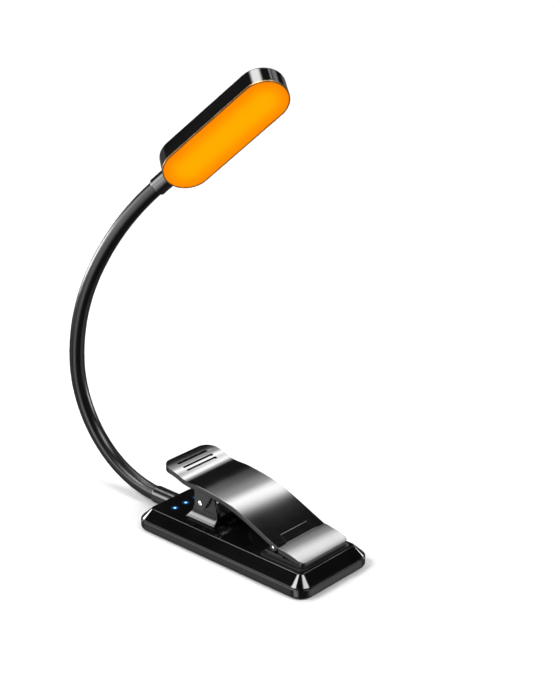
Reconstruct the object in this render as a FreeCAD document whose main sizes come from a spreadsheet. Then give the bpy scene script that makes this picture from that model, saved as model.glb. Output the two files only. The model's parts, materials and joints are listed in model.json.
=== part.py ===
"""Clip-on reading lamp: a rechargeable clip base, a bendable neck and a flat light head.

Frame: origin at the centre of the base's underside, +X towards the jaw end,
+Y towards the charging socket and the buttons, +Z up. Lengths are in millimetres.
"""
import FreeCAD, Part
import math
import os
import Sketcher
from FreeCAD import Placement, Rotation, Vector

os.makedirs("parts", exist_ok=True)
doc = FreeCAD.newDocument("clip_on_reading_lamp")

# ---------------------------------------------------------------- driving dimensions
DIMENSIONS = {
    # base
    "base_length": 80.0,
    "base_width": 36.4,
    "tray_height": 3.76,
    "base_height": 7.6,
    "bevel_inset": 4.0,
    "base_corner": 5.5,
    "deck_corner": 1.6,
    "tray_edge_round": 1.4,
    "seam_round": 0.25,
    "deck_edge_round": 0.5,
    "shell_wall": 1.5,
    "floor_thickness": 1.2,
    "roof_thickness": 1.2,
    "seam_place": -8.3,
    "seam_width": 0.3,
    "seam_depth": 0.25,
    # screws
    "case_screw_x": 34.0,
    "case_screw_y": 12.2,
    "boss_radius": 2.2,
    "screw_shank": 0.8,
    "screw_head": 1.45,
    "screw_head_height": 0.9,
    "screw_recess": 0.3,
    "bracket_screw_y": 4.0,
    # electronics
    "board_rear": -31.2,
    "board_front": -1.0,
    "board_width": 29.0,
    "board_bottom": 4.4,
    "board_thickness": 0.8,
    "battery_place": 15.5,
    "battery_length": 30.0,
    "battery_width": 25.0,
    "battery_thickness": 4.0,
    "socket_place": -24.0,
    "socket_level": 2.8,
    "socket_width": 8.94,
    "socket_height": 3.16,
    "socket_depth": 7.3,
    "socket_wall": 0.3,
    "socket_tongue_width": 6.6,
    "socket_tongue_height": 0.7,
    "switch_length": 3.4,
    "switch_width": 2.0,
    "switch_height": 2.6,
    "switch_y": 14.1,
    "button_length": 5.0,
    "button_height": 1.9,
    "button_proud": 0.5,
    "button_gap": 0.15,
    "button_level": 2.45,
    "window_place": -29.4,
    "window_pitch": 5.5,
    "window_radius": 0.55,
    # clip
    "pivot_x": -14.9,
    "pivot_z": 15.15,
    "pivot_radius": 1.0,
    "running_gap": 0.05,
    "bracket_rear": -22.1,
    "bracket_front": -8.0,
    "bracket_foot_y": 10.3,
    "bracket_ear_y": 8.9,
    "bracket_inside_y": 7.8,
    "bracket_floor": 1.6,
    "bracket_ear_rise": 4.6,
    "bracket_set_back": 2.2,
    "through_cut": 60.0,
    "lever_width": 24.0,
    "lever_thickness": 1.9,
    "lever_ear_outside": 10.2,
    "lever_ear_inside": 9.15,
    "ear_lobe_radius": 2.5,
    "tab_corner": 5.0,
    "grip_length": 14.0,
    "grip_width": 1.3,
    "grip_depth": 0.45,
    "jaw_pin_x": 21.2,
    "jaw_pin_z": 11.85,
    "jaw_pin_radius": 0.6,
    "knuckle_radius": 1.3,
    "tongue_width": 13.6,
    "jaw_front": 34.6,
    "jaw_rear": 17.6,
    "jaw_bottom": 9.3,
    "pad_thickness": 1.15,
    "lower_pad_thickness": 0.5,
    "lower_pad_rear": 15.5,
    "lower_pad_front": 35.0,
    "lower_pad_width": 25.4,
    "pad_corner": 1.6,
    "jaw_corner": 1.8,
    "spring_radius": 2.6,
    "spring_wire": 0.4,
    "spring_pitch": 1.0,
    "spring_full_turns": 6,
    "spring_floor_leg": 5.4,
    "spring_floor_leg_angle": 126.9,
    "spring_lever_leg": 7.0,
    "spring_lever_leg_angle": 150.0,
    # neck
    "neck_start": -47.0,
    "neck_level": 3.95,
    "sleeve_radius": 2.85,
    "core_radius": 1.5,
    "core_gap": 0.05,
    "socket_gap": 0.1,
    "lower_bend_radius": 41.0,
    "lower_bend_angle": 90.0,
    "middle_bend_radius": 85.8,
    "middle_bend_angle": 25.4,
    "middle_bend_roll": 36.9,
    "upper_bend_radius": 105.8,
    "upper_bend_angle": 22.1,
    "upper_bend_roll": -15.7,
    "collar_radius": 3.25,
    "neck_stub": 4.0,
    "collar_length": 11.2,
    "collar_edge_round": 0.3,
    # head
    "head_roll": -46.4,
    "head_gap": 6.1,
    "head_length": 55.8,
    "head_width": 18.3,
    "head_thickness": 7.9,
    "head_wall": 1.0,
    "head_edge_round": 0.8,
    "trim_width": 0.35,
    "trim_depth": 0.6,
    "diffuser_thickness": 1.2,
    "head_collar_radius": 3.45,
    "head_collar_inside": 3.0,
    "led_board_thickness": 1.0,
    "led_columns": 6,
    "led_pitch": 7.5,
    "led_row_y": 3.8,
    "led_length": 2.8,
    "led_width": 3.5,
    "led_height": 0.7,
    "wire_way_radius": 1.2,
}

sheet = doc.addObject("Spreadsheet::Sheet", "dims")
for row, (alias, value) in enumerate(DIMENSIONS.items(), start=1):
    sheet.set("A%d" % row, alias)
    sheet.set("B%d" % row, str(value))
    sheet.setAlias("B%d" % row, alias)
doc.recompute()


def dim(alias):
    """The present value of one cell of the sheet."""
    return float(sheet.get(alias))


# ---------------------------------------------------------------- helpers
parts = []


def keep(obj, label):
    """Name a finished sub-part and put it on the list that is written out."""
    obj.Label = label
    parts.append(obj)
    return obj


def new_body(label):
    return keep(doc.addObject("PartDesign::Body", "Body_" + label), label)


def sketch_on(body, role, offset=(0, 0, 0)):
    """A sketch on one of the body's own origin planes; offset is in that plane's axes."""
    sketch = body.newObject("Sketcher::SketchObject", "Sketch")
    plane = [f for f in body.Origin.OriginFeatures if f.Role == role][0]
    sketch.AttachmentSupport = [(plane, "")]
    sketch.MapMode = "FlatFace"
    sketch.AttachmentOffset = Placement(Vector(*offset), Rotation())
    return sketch


def bind_constraint(sketch, constraint, expression):
    """Add a constraint whose value follows an expression on the sheet."""
    index = sketch.addConstraint(constraint)
    sketch.setExpression("Constraints[%d]" % index, expression)


def rounded_rectangle(sketch, size_x, size_y, corner):
    """A rounded rectangle centred on the sketch; each size is an expression on the sheet."""
    half_x = value_of(size_x) / 2 - value_of(corner)
    half_y = value_of(size_y) / 2 - value_of(corner)
    radius = value_of(corner)
    centres = [(half_x, half_y), (-half_x, half_y), (-half_x, -half_y), (half_x, -half_y)]
    for quarter, (x, y) in enumerate(centres):
        circle = Part.Circle(Vector(x, y, 0), Vector(0, 0, 1), radius)
        start = quarter * math.pi / 2
        sketch.addGeometry(Part.ArcOfCircle(circle, start, start + math.pi / 2))
    for quarter, (x, y) in enumerate(centres):
        turn = (quarter + 1) * math.pi / 2
        edge = Vector(radius * math.cos(turn), radius * math.sin(turn), 0)
        next_x, next_y = centres[(quarter + 1) % 4]
        sketch.addGeometry(Part.LineSegment(Vector(x, y, 0) + edge, Vector(next_x, next_y, 0) + edge))
    for quarter in range(4):
        line = quarter + 4
        sketch.addConstraint(Sketcher.Constraint("Tangent", quarter, 2, line, 1))
        sketch.addConstraint(Sketcher.Constraint("Tangent", line, 2, (quarter + 1) % 4, 1))
        direction = "Horizontal" if quarter % 2 == 0 else "Vertical"
        sketch.addConstraint(Sketcher.Constraint(direction, line))
    for quarter in range(1, 4):
        sketch.addConstraint(Sketcher.Constraint("Equal", 0, quarter))
    sketch.addConstraint(Sketcher.Constraint("Symmetric", 0, 3, 2, 3, -1, 1))
    bind_constraint(sketch, Sketcher.Constraint("Radius", 0, radius), corner)
    bind_constraint(sketch, Sketcher.Constraint("DistanceX", 2, 3, 0, 3, 2 * half_x),
                    "(%s) - 2 * (%s)" % (size_x, corner))
    bind_constraint(sketch, Sketcher.Constraint("DistanceY", 2, 3, 0, 3, 2 * half_y),
                    "(%s) - 2 * (%s)" % (size_y, corner))


def slot(sketch, length, width):
    """A slot with round ends along the sketch's X axis, centred on the sketch."""
    radius = value_of(width) / 2
    half = value_of(length) / 2 - radius
    for x, start in ((half, -math.pi / 2), (-half, math.pi / 2)):
        circle = Part.Circle(Vector(x, 0, 0), Vector(0, 0, 1), radius)
        sketch.addGeometry(Part.ArcOfCircle(circle, start, start + math.pi))
    for sign in (1, -1):
        side = Vector(half * sign, radius * sign, 0), Vector(-half * sign, radius * sign, 0)
        sketch.addGeometry(Part.LineSegment(*side))
    for first, second in ((0, 2), (2, 1), (1, 3), (3, 0)):
        sketch.addConstraint(Sketcher.Constraint("Tangent", first, 2, second, 1))
    sketch.addConstraint(Sketcher.Constraint("Horizontal", 2))
    sketch.addConstraint(Sketcher.Constraint("Symmetric", 0, 3, 1, 3, -1, 1))
    bind_constraint(sketch, Sketcher.Constraint("Radius", 0, radius), "(%s) / 2" % width)
    bind_constraint(sketch, Sketcher.Constraint("DistanceX", 1, 3, 0, 3, 2 * half),
                    "(%s) - (%s)" % (length, width))


def circles(sketch, centres, radius):
    """Round holes or bosses of one radius, each centre a pair of numbers."""
    for x, y in centres:
        index = sketch.addGeometry(Part.Circle(Vector(x, y, 0), Vector(0, 0, 1), value_of(radius)))
        bind_constraint(sketch, Sketcher.Constraint("Radius", index, value_of(radius)), radius)


def outline(sketch, points):
    """A closed outline of straight lines."""
    for first, second in zip(points, points[1:] + points[:1]):
        sketch.addGeometry(Part.LineSegment(Vector(first[0], first[1], 0), Vector(second[0], second[1], 0)))


def value_of(expression):
    """The number that an expression on the sheet's cells gives now."""
    names = {alias: dim(alias) for alias in DIMENSIONS if alias in expression}
    text = expression.replace("dims.", "")
    for alias in sorted(names, key=len, reverse=True):
        text = text.replace(alias, repr(names[alias]))
    return arithmetic(text)


def arithmetic(text):
    """Add, subtract, multiply and divide the plain numbers in a text, brackets included."""
    return float(FreeCAD.Units.Quantity(text).Value)


def pad(body, sketch, length, symmetric=False, against_normal=False):
    feature = body.newObject("PartDesign::Pad", "Pad")
    feature.Profile = sketch
    feature.SideType = "Symmetric" if symmetric else "One side"
    feature.Reversed = against_normal
    feature.setExpression("Length", length)
    return feature


def pocket(body, sketch, length, symmetric=False, along_normal=False):
    """Cut the sketch through the body, and stop if the cut takes nothing away."""
    doc.recompute()
    before = body.Shape.Volume
    feature = body.newObject("PartDesign::Pocket", "Pocket")
    feature.Profile = sketch
    feature.SideType = "Symmetric" if symmetric else "One side"
    feature.Reversed = along_normal
    feature.setExpression("Length", length)
    doc.recompute()
    if body.Shape.Volume > before - 1e-3:
        raise RuntimeError("a pocket in %s cuts nothing" % body.Label)
    return feature


def loft(body, first, second, subtract=False):
    kind = "PartDesign::SubtractiveLoft" if subtract else "PartDesign::AdditiveLoft"
    feature = body.newObject(kind, "Loft")
    feature.Profile = first
    feature.Sections = [second]
    feature.Ruled = True
    return feature


def round_edges(body, radius, wanted):
    """Fillet the body's edges for which wanted(edge) is true."""
    doc.recompute()
    last = body.Tip
    names = ["Edge%d" % (i + 1) for i, edge in enumerate(last.Shape.Edges) if wanted(edge)]
    feature = body.newObject("PartDesign::Fillet", "Fillet")
    feature.Base = (last, names)
    feature.setExpression("Radius", radius)
    return feature


def flat_at(level):
    """A test for edges that lie wholly at one height."""
    return lambda edge: abs(edge.BoundBox.ZMin - level) < 1e-4 and abs(edge.BoundBox.ZMax - level) < 1e-4


def outline_at(level):
    """A test for the edges of the base's outer outline at one height."""
    def wanted(edge):
        size = edge.BoundBox
        reach_x = max(-size.XMin, size.XMax) > dim("base_length") / 2 - 0.01
        reach_y = max(-size.YMin, size.YMax) > dim("base_width") / 2 - 0.01
        return flat_at(level)(edge) and (reach_x or reach_y)
    return wanted


def primitive(kind, name, sizes, placement=None):
    """A Part primitive; sizes maps its properties to expressions on the sheet."""
    solid = doc.addObject("Part::" + kind, name)
    for size, expression in sizes.items():
        solid.setExpression(size, expression)
    if placement is not None:
        solid.Placement = placement
    return solid


def box(name, size_x, size_y, size_z, centre_x, centre_y, bottom):
    """A box of three sizes (expressions) standing at a height (numbers for its place)."""
    corner = Vector(centre_x - value_of(size_x) / 2, centre_y - value_of(size_y) / 2, bottom)
    sizes = {"Length": size_x, "Width": size_y, "Height": size_z}
    return primitive("Box", name, sizes, Placement(corner, Rotation()))


def cylinder(name, radius, length, start, axis):
    sizes = {"Radius": radius, "Height": length}
    turn = Rotation(Vector(0, 0, 1), Vector(*axis))
    return primitive("Cylinder", name, sizes, Placement(Vector(*start), turn))


def fuse(name, shapes):
    joined = doc.addObject("Part::MultiFuse", name)
    joined.Shapes = shapes
    return joined


def cut(name, base, tool):
    result = doc.addObject("Part::Cut", name)
    result.Base = base
    result.Tool = tool
    return result


def group(name, solids):
    """Separate solids of one sub-part, such as the screws of one kind."""
    compound = doc.addObject("Part::Compound", name)
    compound.Links = solids
    return compound


ALONG_Y = (0, 1, 0)
case_screws_at = [(sx * dim("case_screw_x"), sy * dim("case_screw_y")) for sx in (1, -1) for sy in (1, -1)]
button_places = {"power_button": -14.0, "mode_button": -5.0}


# ---------------------------------------------------------------- base shells
def cut_side_openings(body):
    """The charging socket's and the buttons' openings in the +Y wall, and the neck's in the rear wall."""
    reach = 8.0
    side = -dim("base_width") / 2 - 1.0
    opening = sketch_on(body, "XZ_Plane", (dim("socket_place"), dim("socket_level"), side))
    slot(opening, "dims.socket_width + 0.3", "dims.socket_height + 0.3")
    pocket(body, opening, str(reach), along_normal=True)
    rear = sketch_on(body, "YZ_Plane", (0, dim("neck_level"), -dim("base_length") / 2 - 1.0))
    circles(rear, [(0, 0)], "dims.collar_radius + dims.running_gap")
    pocket(body, rear, "5.4", along_normal=True)


def base_tray():
    body = new_body("base_tray")
    plan = sketch_on(body, "XY_Plane")
    rounded_rectangle(plan, "dims.base_length", "dims.base_width", "dims.base_corner")
    pad(body, plan, "dims.tray_height")
    round_edges(body, "dims.tray_edge_round", flat_at(0))
    round_edges(body, "dims.seam_round", flat_at(dim("tray_height")))
    hollow = sketch_on(body, "XY_Plane", (0, 0, dim("tray_height")))
    rounded_rectangle(hollow, "dims.base_length - 2 * dims.shell_wall",
                      "dims.base_width - 2 * dims.shell_wall", "dims.base_corner - dims.shell_wall")
    pocket(body, hollow, "dims.tray_height - dims.floor_thickness")
    bosses = sketch_on(body, "XY_Plane", (0, 0, dim("floor_thickness") / 2))
    circles(bosses, case_screws_at, "dims.boss_radius")
    pad(body, bosses, "dims.tray_height - dims.floor_thickness / 2")
    recesses = sketch_on(body, "XY_Plane")
    circles(recesses, case_screws_at, "dims.screw_head + dims.running_gap")
    pocket(body, recesses, "dims.screw_recess + dims.screw_head_height", along_normal=True)
    holes = sketch_on(body, "XY_Plane")
    circles(holes, case_screws_at, "dims.screw_shank + dims.running_gap")
    pocket(body, holes, "dims.tray_height + 1", along_normal=True)
    cut_side_openings(body)
    slots = sketch_on(body, "XZ_Plane", (0, dim("button_level"), -dim("base_width") / 2 - 1.0))
    for place in button_places.values():
        half = dim("button_length") / 2 + dim("button_gap")
        rise = dim("button_height") / 2 + dim("button_gap")
        outline(slots, [(place - half, -rise), (place + half, -rise),
                        (place + half, rise), (place - half, rise)])
    pocket(body, slots, "4", along_normal=True)


def base_cover():
    body = new_body("base_cover")
    lower = sketch_on(body, "XY_Plane", (0, 0, dim("tray_height")))
    rounded_rectangle(lower, "dims.base_length", "dims.base_width", "dims.base_corner")
    upper = sketch_on(body, "XY_Plane", (0, 0, dim("base_height")))
    rounded_rectangle(upper, "dims.base_length - 2 * dims.bevel_inset",
                      "dims.base_width - 2 * dims.bevel_inset", "dims.deck_corner")
    loft(body, lower, upper)
    roof = dim("base_height") - dim("roof_thickness")
    narrowing = dim("bevel_inset") * (roof - dim("tray_height")) / (dim("base_height") - dim("tray_height"))
    inner_low = sketch_on(body, "XY_Plane", (0, 0, dim("tray_height")))
    rounded_rectangle(inner_low, "dims.base_length - 2 * dims.shell_wall",
                      "dims.base_width - 2 * dims.shell_wall", "dims.base_corner - dims.shell_wall")
    inner_high = sketch_on(body, "XY_Plane", (0, 0, roof))
    rounded_rectangle(inner_high, "dims.base_length - 2 * dims.shell_wall - 2 * %f" % narrowing,
                      "dims.base_width - 2 * dims.shell_wall - 2 * %f" % narrowing, "dims.deck_corner")
    loft(body, inner_low, inner_high, subtract=True)
    round_edges(body, "dims.seam_round", outline_at(dim("tray_height")))
    round_edges(body, "dims.deck_edge_round", flat_at(dim("base_height")))
    bosses = sketch_on(body, "XY_Plane", (0, 0, dim("tray_height")))
    circles(bosses, case_screws_at, "dims.boss_radius")
    pad(body, bosses, "dims.base_height - dims.roof_thickness / 2 - dims.tray_height")
    pilots = sketch_on(body, "XY_Plane", (0, 0, dim("tray_height")))
    circles(pilots, case_screws_at, "dims.screw_shank")
    pocket(body, pilots, "2.4", along_normal=True)
    cut_side_openings(body)
    through = sketch_on(body, "XY_Plane", (0, 0, dim("base_height")))
    screw_y = dim("bracket_screw_y")
    circles(through, [(dim("pivot_x"), screw_y), (dim("pivot_x"), -screw_y)], "dims.screw_shank")
    pocket(body, through, "2 * dims.roof_thickness")
    windows = sketch_on(body, "XY_Plane", (0, 0, dim("base_height")))
    circles(windows, [(dim("window_place"), y) for y in window_rows()], "dims.window_radius")
    pocket(body, windows, "2 * dims.roof_thickness")
    seam = sketch_on(body, "XY_Plane", (dim("seam_place"), 0, dim("base_height")))
    half = dim("seam_width") / 2
    side = dim("base_width") / 2
    outline(seam, [(-half, -side), (half, -side), (half, side), (-half, side)])
    pocket(body, seam, "dims.seam_depth")


def window_rows():
    """The Y places of the four charge indicator windows."""
    return [dim("window_pitch") * step for step in (-1.5, -0.5, 0.5, 1.5)]


base_tray()
base_cover()


# ---------------------------------------------------------------- what the base holds
def usb_socket():
    """An open shell with a contact tongue, mouth towards +Y."""
    body = new_body("usb_c_socket")
    mouth = dim("base_width") / 2 - 0.2
    level = dim("socket_level")
    shell = sketch_on(body, "XZ_Plane", (dim("socket_place"), level, -mouth))
    slot(shell, "dims.socket_width", "dims.socket_height")
    pad(body, shell, "dims.socket_depth")
    hollow = sketch_on(body, "XZ_Plane", (dim("socket_place"), level, -mouth))
    slot(hollow, "dims.socket_width - 2 * dims.socket_wall", "dims.socket_height - 2 * dims.socket_wall")
    pocket(body, hollow, "dims.socket_depth - 1", along_normal=True)
    tongue = sketch_on(body, "XZ_Plane", (dim("socket_place"), level, -mouth + 1.0))
    rounded_rectangle(tongue, "dims.socket_tongue_width", "dims.socket_tongue_height", "0.1")
    pad(body, tongue, "dims.socket_depth - 1.5")


def switch_for_button(name, place):
    """A side-pressed switch hanging under the board, behind one button."""
    bottom = dim("board_bottom") - dim("switch_height")
    return box(name, "dims.switch_length", "dims.switch_width", "dims.switch_height",
               place, dim("switch_y"), bottom)


def button(label, place):
    """A button cap with a retaining flange inside the wall."""
    outside = dim("base_width") / 2 + dim("button_proud")
    cap = box(label + "_cap", "dims.button_length", "dims.shell_wall + dims.button_proud + 0.2",
              "dims.button_height", place, outside - (dim("shell_wall") + dim("button_proud") + 0.2) / 2,
              dim("button_level") - dim("button_height") / 2)
    flange_front = dim("base_width") / 2 - dim("shell_wall") - 0.1
    flange = box(label + "_flange", "dims.button_length + 1.2", "0.6", "dims.button_height + 0.4",
                 place, flange_front - 0.3, dim("button_level") - dim("button_height") / 2 - 0.2)
    keep(fuse(label, [cap, flange]), label)


board_x = (dim("board_rear") + dim("board_front")) / 2
board_top = dim("board_bottom") + dim("board_thickness")
board_length = "(dims.board_front - dims.board_rear)"
keep(box("control_board", board_length, "dims.board_width", "dims.board_thickness",
         board_x, 0, dim("board_bottom")), "control_board")
keep(box("battery_cell", "dims.battery_length", "dims.battery_width", "dims.battery_thickness",
         dim("battery_place"), 0, dim("floor_thickness") + 0.1), "battery_cell")
usb_socket()
switches = [switch_for_button("switch_%d" % i, place) for i, place in enumerate(button_places.values())]
keep(group("tact_switches", switches), "tact_switches")
for button_label, button_place in button_places.items():
    button(button_label, button_place)
chips = [box("chip_%d" % i, "1.6", "0.8", "0.6", dim("window_place"), y, board_top)
         for i, y in enumerate(window_rows())]
keep(group("indicator_leds", chips), "indicator_leds")
panes = [cylinder("pane_%d" % i, "dims.window_radius", "dims.roof_thickness + 0.42",
                  (dim("window_place"), y, dim("base_height") - dim("roof_thickness") - 0.4), (0, 0, 1))
         for i, y in enumerate(window_rows())]
keep(group("indicator_windows", panes), "indicator_windows")


def screw(name, x, y, head_bottom, head_top, tip):
    """A pan-head screw pointing up: head from head_bottom to head_top, shank to tip."""
    head = cylinder(name + "_head", "dims.screw_head", "%f" % (head_top - head_bottom),
                    (x, y, head_bottom), (0, 0, 1))
    shank = cylinder(name + "_shank", "dims.screw_shank", "%f" % (tip - head_bottom),
                     (x, y, head_bottom), (0, 0, 1))
    drive = box(name + "_drive", "1.8", "0.4", "0.3", x, y, head_bottom)
    return cut(name, fuse(name + "_blank", [head, shank]), drive)


recess = dim("screw_recess")
head_top = recess + dim("screw_head_height")
keep(group("case_screws", [screw("case_screw_%d" % i, x, y, recess, head_top, 6.0)
                           for i, (x, y) in enumerate(case_screws_at)]), "case_screws")
roof_level = dim("base_height") - dim("roof_thickness")
bracket_tip = dim("base_height") + dim("bracket_floor") - 0.2
keep(group("bracket_screws", [screw("bracket_screw_%d" % i, dim("pivot_x"), sign * dim("bracket_screw_y"),
                                    roof_level - dim("screw_head_height"), roof_level, bracket_tip)
                              for i, sign in enumerate((1, -1))]), "bracket_screws")


# ---------------------------------------------------------------- the clip
def clip_bracket():
    """A U-shaped bracket: a flared foot on the deck and two ears for the pivot pin."""
    body = new_body("clip_bracket")
    deck = dim("base_height")
    top = dim("pivot_z") + dim("bracket_ear_rise")
    rear, front = dim("bracket_rear"), dim("bracket_front")
    side = sketch_on(body, "XZ_Plane")
    rear_side = Part.Arc(Vector(rear, deck, 0), Vector(-19.5, 11.5, 0), Vector(-18.2, 16.5, 0)).toShape()
    front_side = Part.Arc(Vector(-10.0, top, 0), Vector(-8.2, 14.0, 0), Vector(front, deck, 0)).toShape()
    for curve in (rear_side, front_side):
        side.addGeometry(curve.Curve.trim(curve.FirstParameter, curve.LastParameter))
    outline_open(side, [(-18.2, 16.5), (-17.8, top), (-10.0, top)])
    outline_open(side, [(front, deck), (rear, deck)])
    pad(body, side, "2 * dims.bracket_foot_y", symmetric=True)
    inside = sketch_on(body, "YZ_Plane")
    half = dim("bracket_inside_y")
    floor = deck + dim("bracket_floor")
    outline(inside, [(-half, floor), (half, floor), (half, top + 1), (-half, top + 1)])
    pocket(body, inside, "dims.through_cut", symmetric=True)
    set_back = sketch_on(body, "XY_Plane", (0, 0, deck))
    shortened = front - dim("bracket_set_back")
    outline(set_back, [(shortened, -half), (front + 2, -half), (front + 2, half), (shortened, half)])
    pocket(body, set_back, "2 * dims.bracket_floor", along_normal=True)
    foot, ear = dim("bracket_foot_y"), dim("bracket_ear_y")
    for sign in (1, -1):
        flare = sketch_on(body, "YZ_Plane")
        sweep = Part.Arc(Vector(sign * foot, deck + 0.8, 0), Vector(sign * (ear + 0.35), deck + 2.4, 0),
                         Vector(sign * ear, deck + 5.0, 0)).toShape()
        flare.addGeometry(sweep.Curve.trim(sweep.FirstParameter, sweep.LastParameter))
        outline_open(flare, [(sign * ear, deck + 5.0), (sign * ear, top + 1), (sign * (foot + 1), top + 1),
                             (sign * (foot + 1), deck + 0.8), (sign * foot, deck + 0.8)])
        pocket(body, flare, "dims.through_cut", symmetric=True)
    pin = sketch_on(body, "XZ_Plane")
    circles(pin, [(dim("pivot_x"), dim("pivot_z"))], "dims.pivot_radius")
    pocket(body, pin, "dims.through_cut", symmetric=True)
    threads = sketch_on(body, "XY_Plane", (0, 0, deck))
    circles(threads, [(dim("pivot_x"), s * dim("bracket_screw_y")) for s in (1, -1)], "dims.screw_shank")
    pocket(body, threads, "dims.bracket_floor + 1", along_normal=True)


def outline_open(sketch, points):
    """Straight lines through the points, left open at both ends."""
    for first, second in zip(points, points[1:]):
        sketch.addGeometry(Part.LineSegment(Vector(first[0], first[1], 0), Vector(second[0], second[1], 0)))


LEVER_TOP = [(-33.5, 25.2), (-26.5, 24.4), (-20.0, 22.95), (-11.0, 22.9),
             (1.0, 21.2), (12.0, 17.35), (23.5, 12.6)]
GRIP_PLACES = (-29.0, -26.0, -23.2)


def lever_curves():
    """The lever's top line seen from the side, and the same line one plate thickness lower."""
    top = Part.BSplineCurve()
    top.interpolate([Vector(x, z, 0) for x, z in LEVER_TOP])
    lowered = []
    for point in top.discretize(9):
        along = Vector(*top.tangent(top.parameter(point))[0])
        lowered.append(point + Vector(along.y, -along.x, 0) * dim("lever_thickness"))
    bottom = Part.BSplineCurve()
    bottom.interpolate(lowered)
    return top, bottom


def clip_lever():
    body = new_body("clip_lever")
    top, bottom = lever_curves()
    side = sketch_on(body, "XZ_Plane")
    side.addGeometry(top)
    side.addGeometry(bottom)
    for first, second in ((top.StartPoint, bottom.StartPoint), (top.EndPoint, bottom.EndPoint)):
        side.addGeometry(Part.LineSegment(first, second))
    pad(body, side, "dims.lever_width", symmetric=True)
    ears = sketch_on(body, "XZ_Plane")
    pin_x, pin_z, lobe = dim("pivot_x"), dim("pivot_z"), dim("ear_lobe_radius")
    rear, front = math.pi, 2 * math.pi - math.radians(25)
    circle = Part.Circle(Vector(pin_x, pin_z, 0), Vector(0, 0, 1), lobe)
    ears.addGeometry(Part.ArcOfCircle(circle, rear, front))
    start = (pin_x - lobe, pin_z)
    end = (pin_x + lobe * math.cos(front), pin_z + lobe * math.sin(front))
    outline_open(ears, [end, (-9.2, 19.8), (-8.6, 21.8), (start[0], 21.9), start])
    pad(body, ears, "2 * dims.lever_ear_outside", symmetric=True)
    under = sketch_on(body, "XZ_Plane")
    outline_open(under, [(-30.0, 5.0), (30.0, 5.0)])
    under.addGeometry(bottom)
    outline_open(under, [(bottom.StartPoint.x, bottom.StartPoint.y), (-40.0, 20.0), (-40.0, 5.0),
                         (-30.0, 5.0)])
    outline_open(under, [(bottom.EndPoint.x, bottom.EndPoint.y), (30.0, 5.0)])
    pocket(body, under, "2 * dims.lever_ear_inside", symmetric=True)
    knuckles = sketch_on(body, "XZ_Plane")
    circles(knuckles, [(dim("jaw_pin_x"), dim("jaw_pin_z"))], "dims.knuckle_radius")
    pad(body, knuckles, "dims.lever_width", symmetric=True)
    tongue_slot = sketch_on(body, "XY_Plane")
    half = dim("tongue_width") / 2 + 0.3
    slot_rear = dim("jaw_pin_x") - dim("knuckle_radius") - 0.2
    outline(tongue_slot, [(slot_rear, -half), (30.0, -half), (30.0, half), (slot_rear, half)])
    pocket(body, tongue_slot, "dims.through_cut", along_normal=True)
    for radius, place in (("dims.pivot_radius + dims.running_gap", (pin_x, pin_z)),
                          ("dims.jaw_pin_radius", (dim("jaw_pin_x"), dim("jaw_pin_z")))):
        bore = sketch_on(body, "XZ_Plane")
        circles(bore, [place], radius)
        pocket(body, bore, "dims.through_cut", symmetric=True)
    for place in GRIP_PLACES:
        groove = sketch_on(body, "XY_Plane", (place, 0, grip_level(top, place)))
        wide, long = dim("grip_width") / 2, dim("grip_length") / 2
        outline(groove, [(-wide, -long), (wide, -long), (wide, long), (-wide, long)])
        pocket(body, groove, "3", along_normal=True)
    round_edges(body, "dims.tab_corner", tab_corner_edge)


def grip_level(top, place):
    """The bottom of a grip groove: the lever's top line at that place, less the groove's depth."""
    near = min(top.discretize(400), key=lambda point: abs(point.x - place))
    return near.y - dim("grip_depth")


def tab_corner_edge(edge):
    """The two upright edges at the rear corners of the thumb tab."""
    size = edge.BoundBox
    at_rear = size.XMax < LEVER_TOP[0][0] + 0.8
    at_side = size.YMin > dim("lever_width") / 2 - 0.01 or size.YMax < -dim("lever_width") / 2 + 0.01
    return at_rear and at_side and size.YLength < 1e-3 and size.ZLength > 1.0 and size.XLength < 1.0


def jaw_plate():
    body = new_body("jaw_plate")
    rear, front, bottom = dim("jaw_rear"), dim("jaw_front"), dim("jaw_bottom")
    arm_end = LEVER_TOP[-1][0] + 0.3
    side = sketch_on(body, "XZ_Plane")
    outline(side, [(rear, bottom), (front, bottom), (front + 0.1, 10.15), (arm_end, 12.5), (arm_end, 10.0),
                   (rear + 0.3, 10.0)])
    pad(body, side, "dims.lever_width", symmetric=True)
    tongue = sketch_on(body, "XZ_Plane")
    pin_x, pin_z, radius = dim("jaw_pin_x"), dim("jaw_pin_z"), dim("knuckle_radius")
    outline(tongue, [(pin_x - radius, pin_z), (pin_x - 1.1, 13.5), (arm_end + 0.1, 12.46),
                     (arm_end + 0.1, bottom + 0.2), (pin_x - radius, bottom + 0.2)])
    pad(body, tongue, "dims.tongue_width", symmetric=True)
    bore = sketch_on(body, "XZ_Plane")
    circles(bore, [(pin_x, pin_z)], "dims.jaw_pin_radius + dims.running_gap")
    pocket(body, bore, "dims.through_cut", symmetric=True)
    round_edges(body, "dims.jaw_corner", jaw_corner_edge)


def jaw_corner_edge(edge):
    """The two upright edges at the jaw's front corners."""
    size = edge.BoundBox
    return size.XMin > dim("jaw_front") - 0.2 and size.YLength < 1e-3 and size.ZLength > 0.5


def soft_pad(label, rear, front, bottom, thickness, width):
    body = new_body(label)
    plan = sketch_on(body, "XY_Plane", ((rear + front) / 2, 0, bottom))
    rounded_rectangle(plan, "%f" % (front - rear), width, "dims.pad_corner")
    pad(body, plan, thickness)


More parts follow.
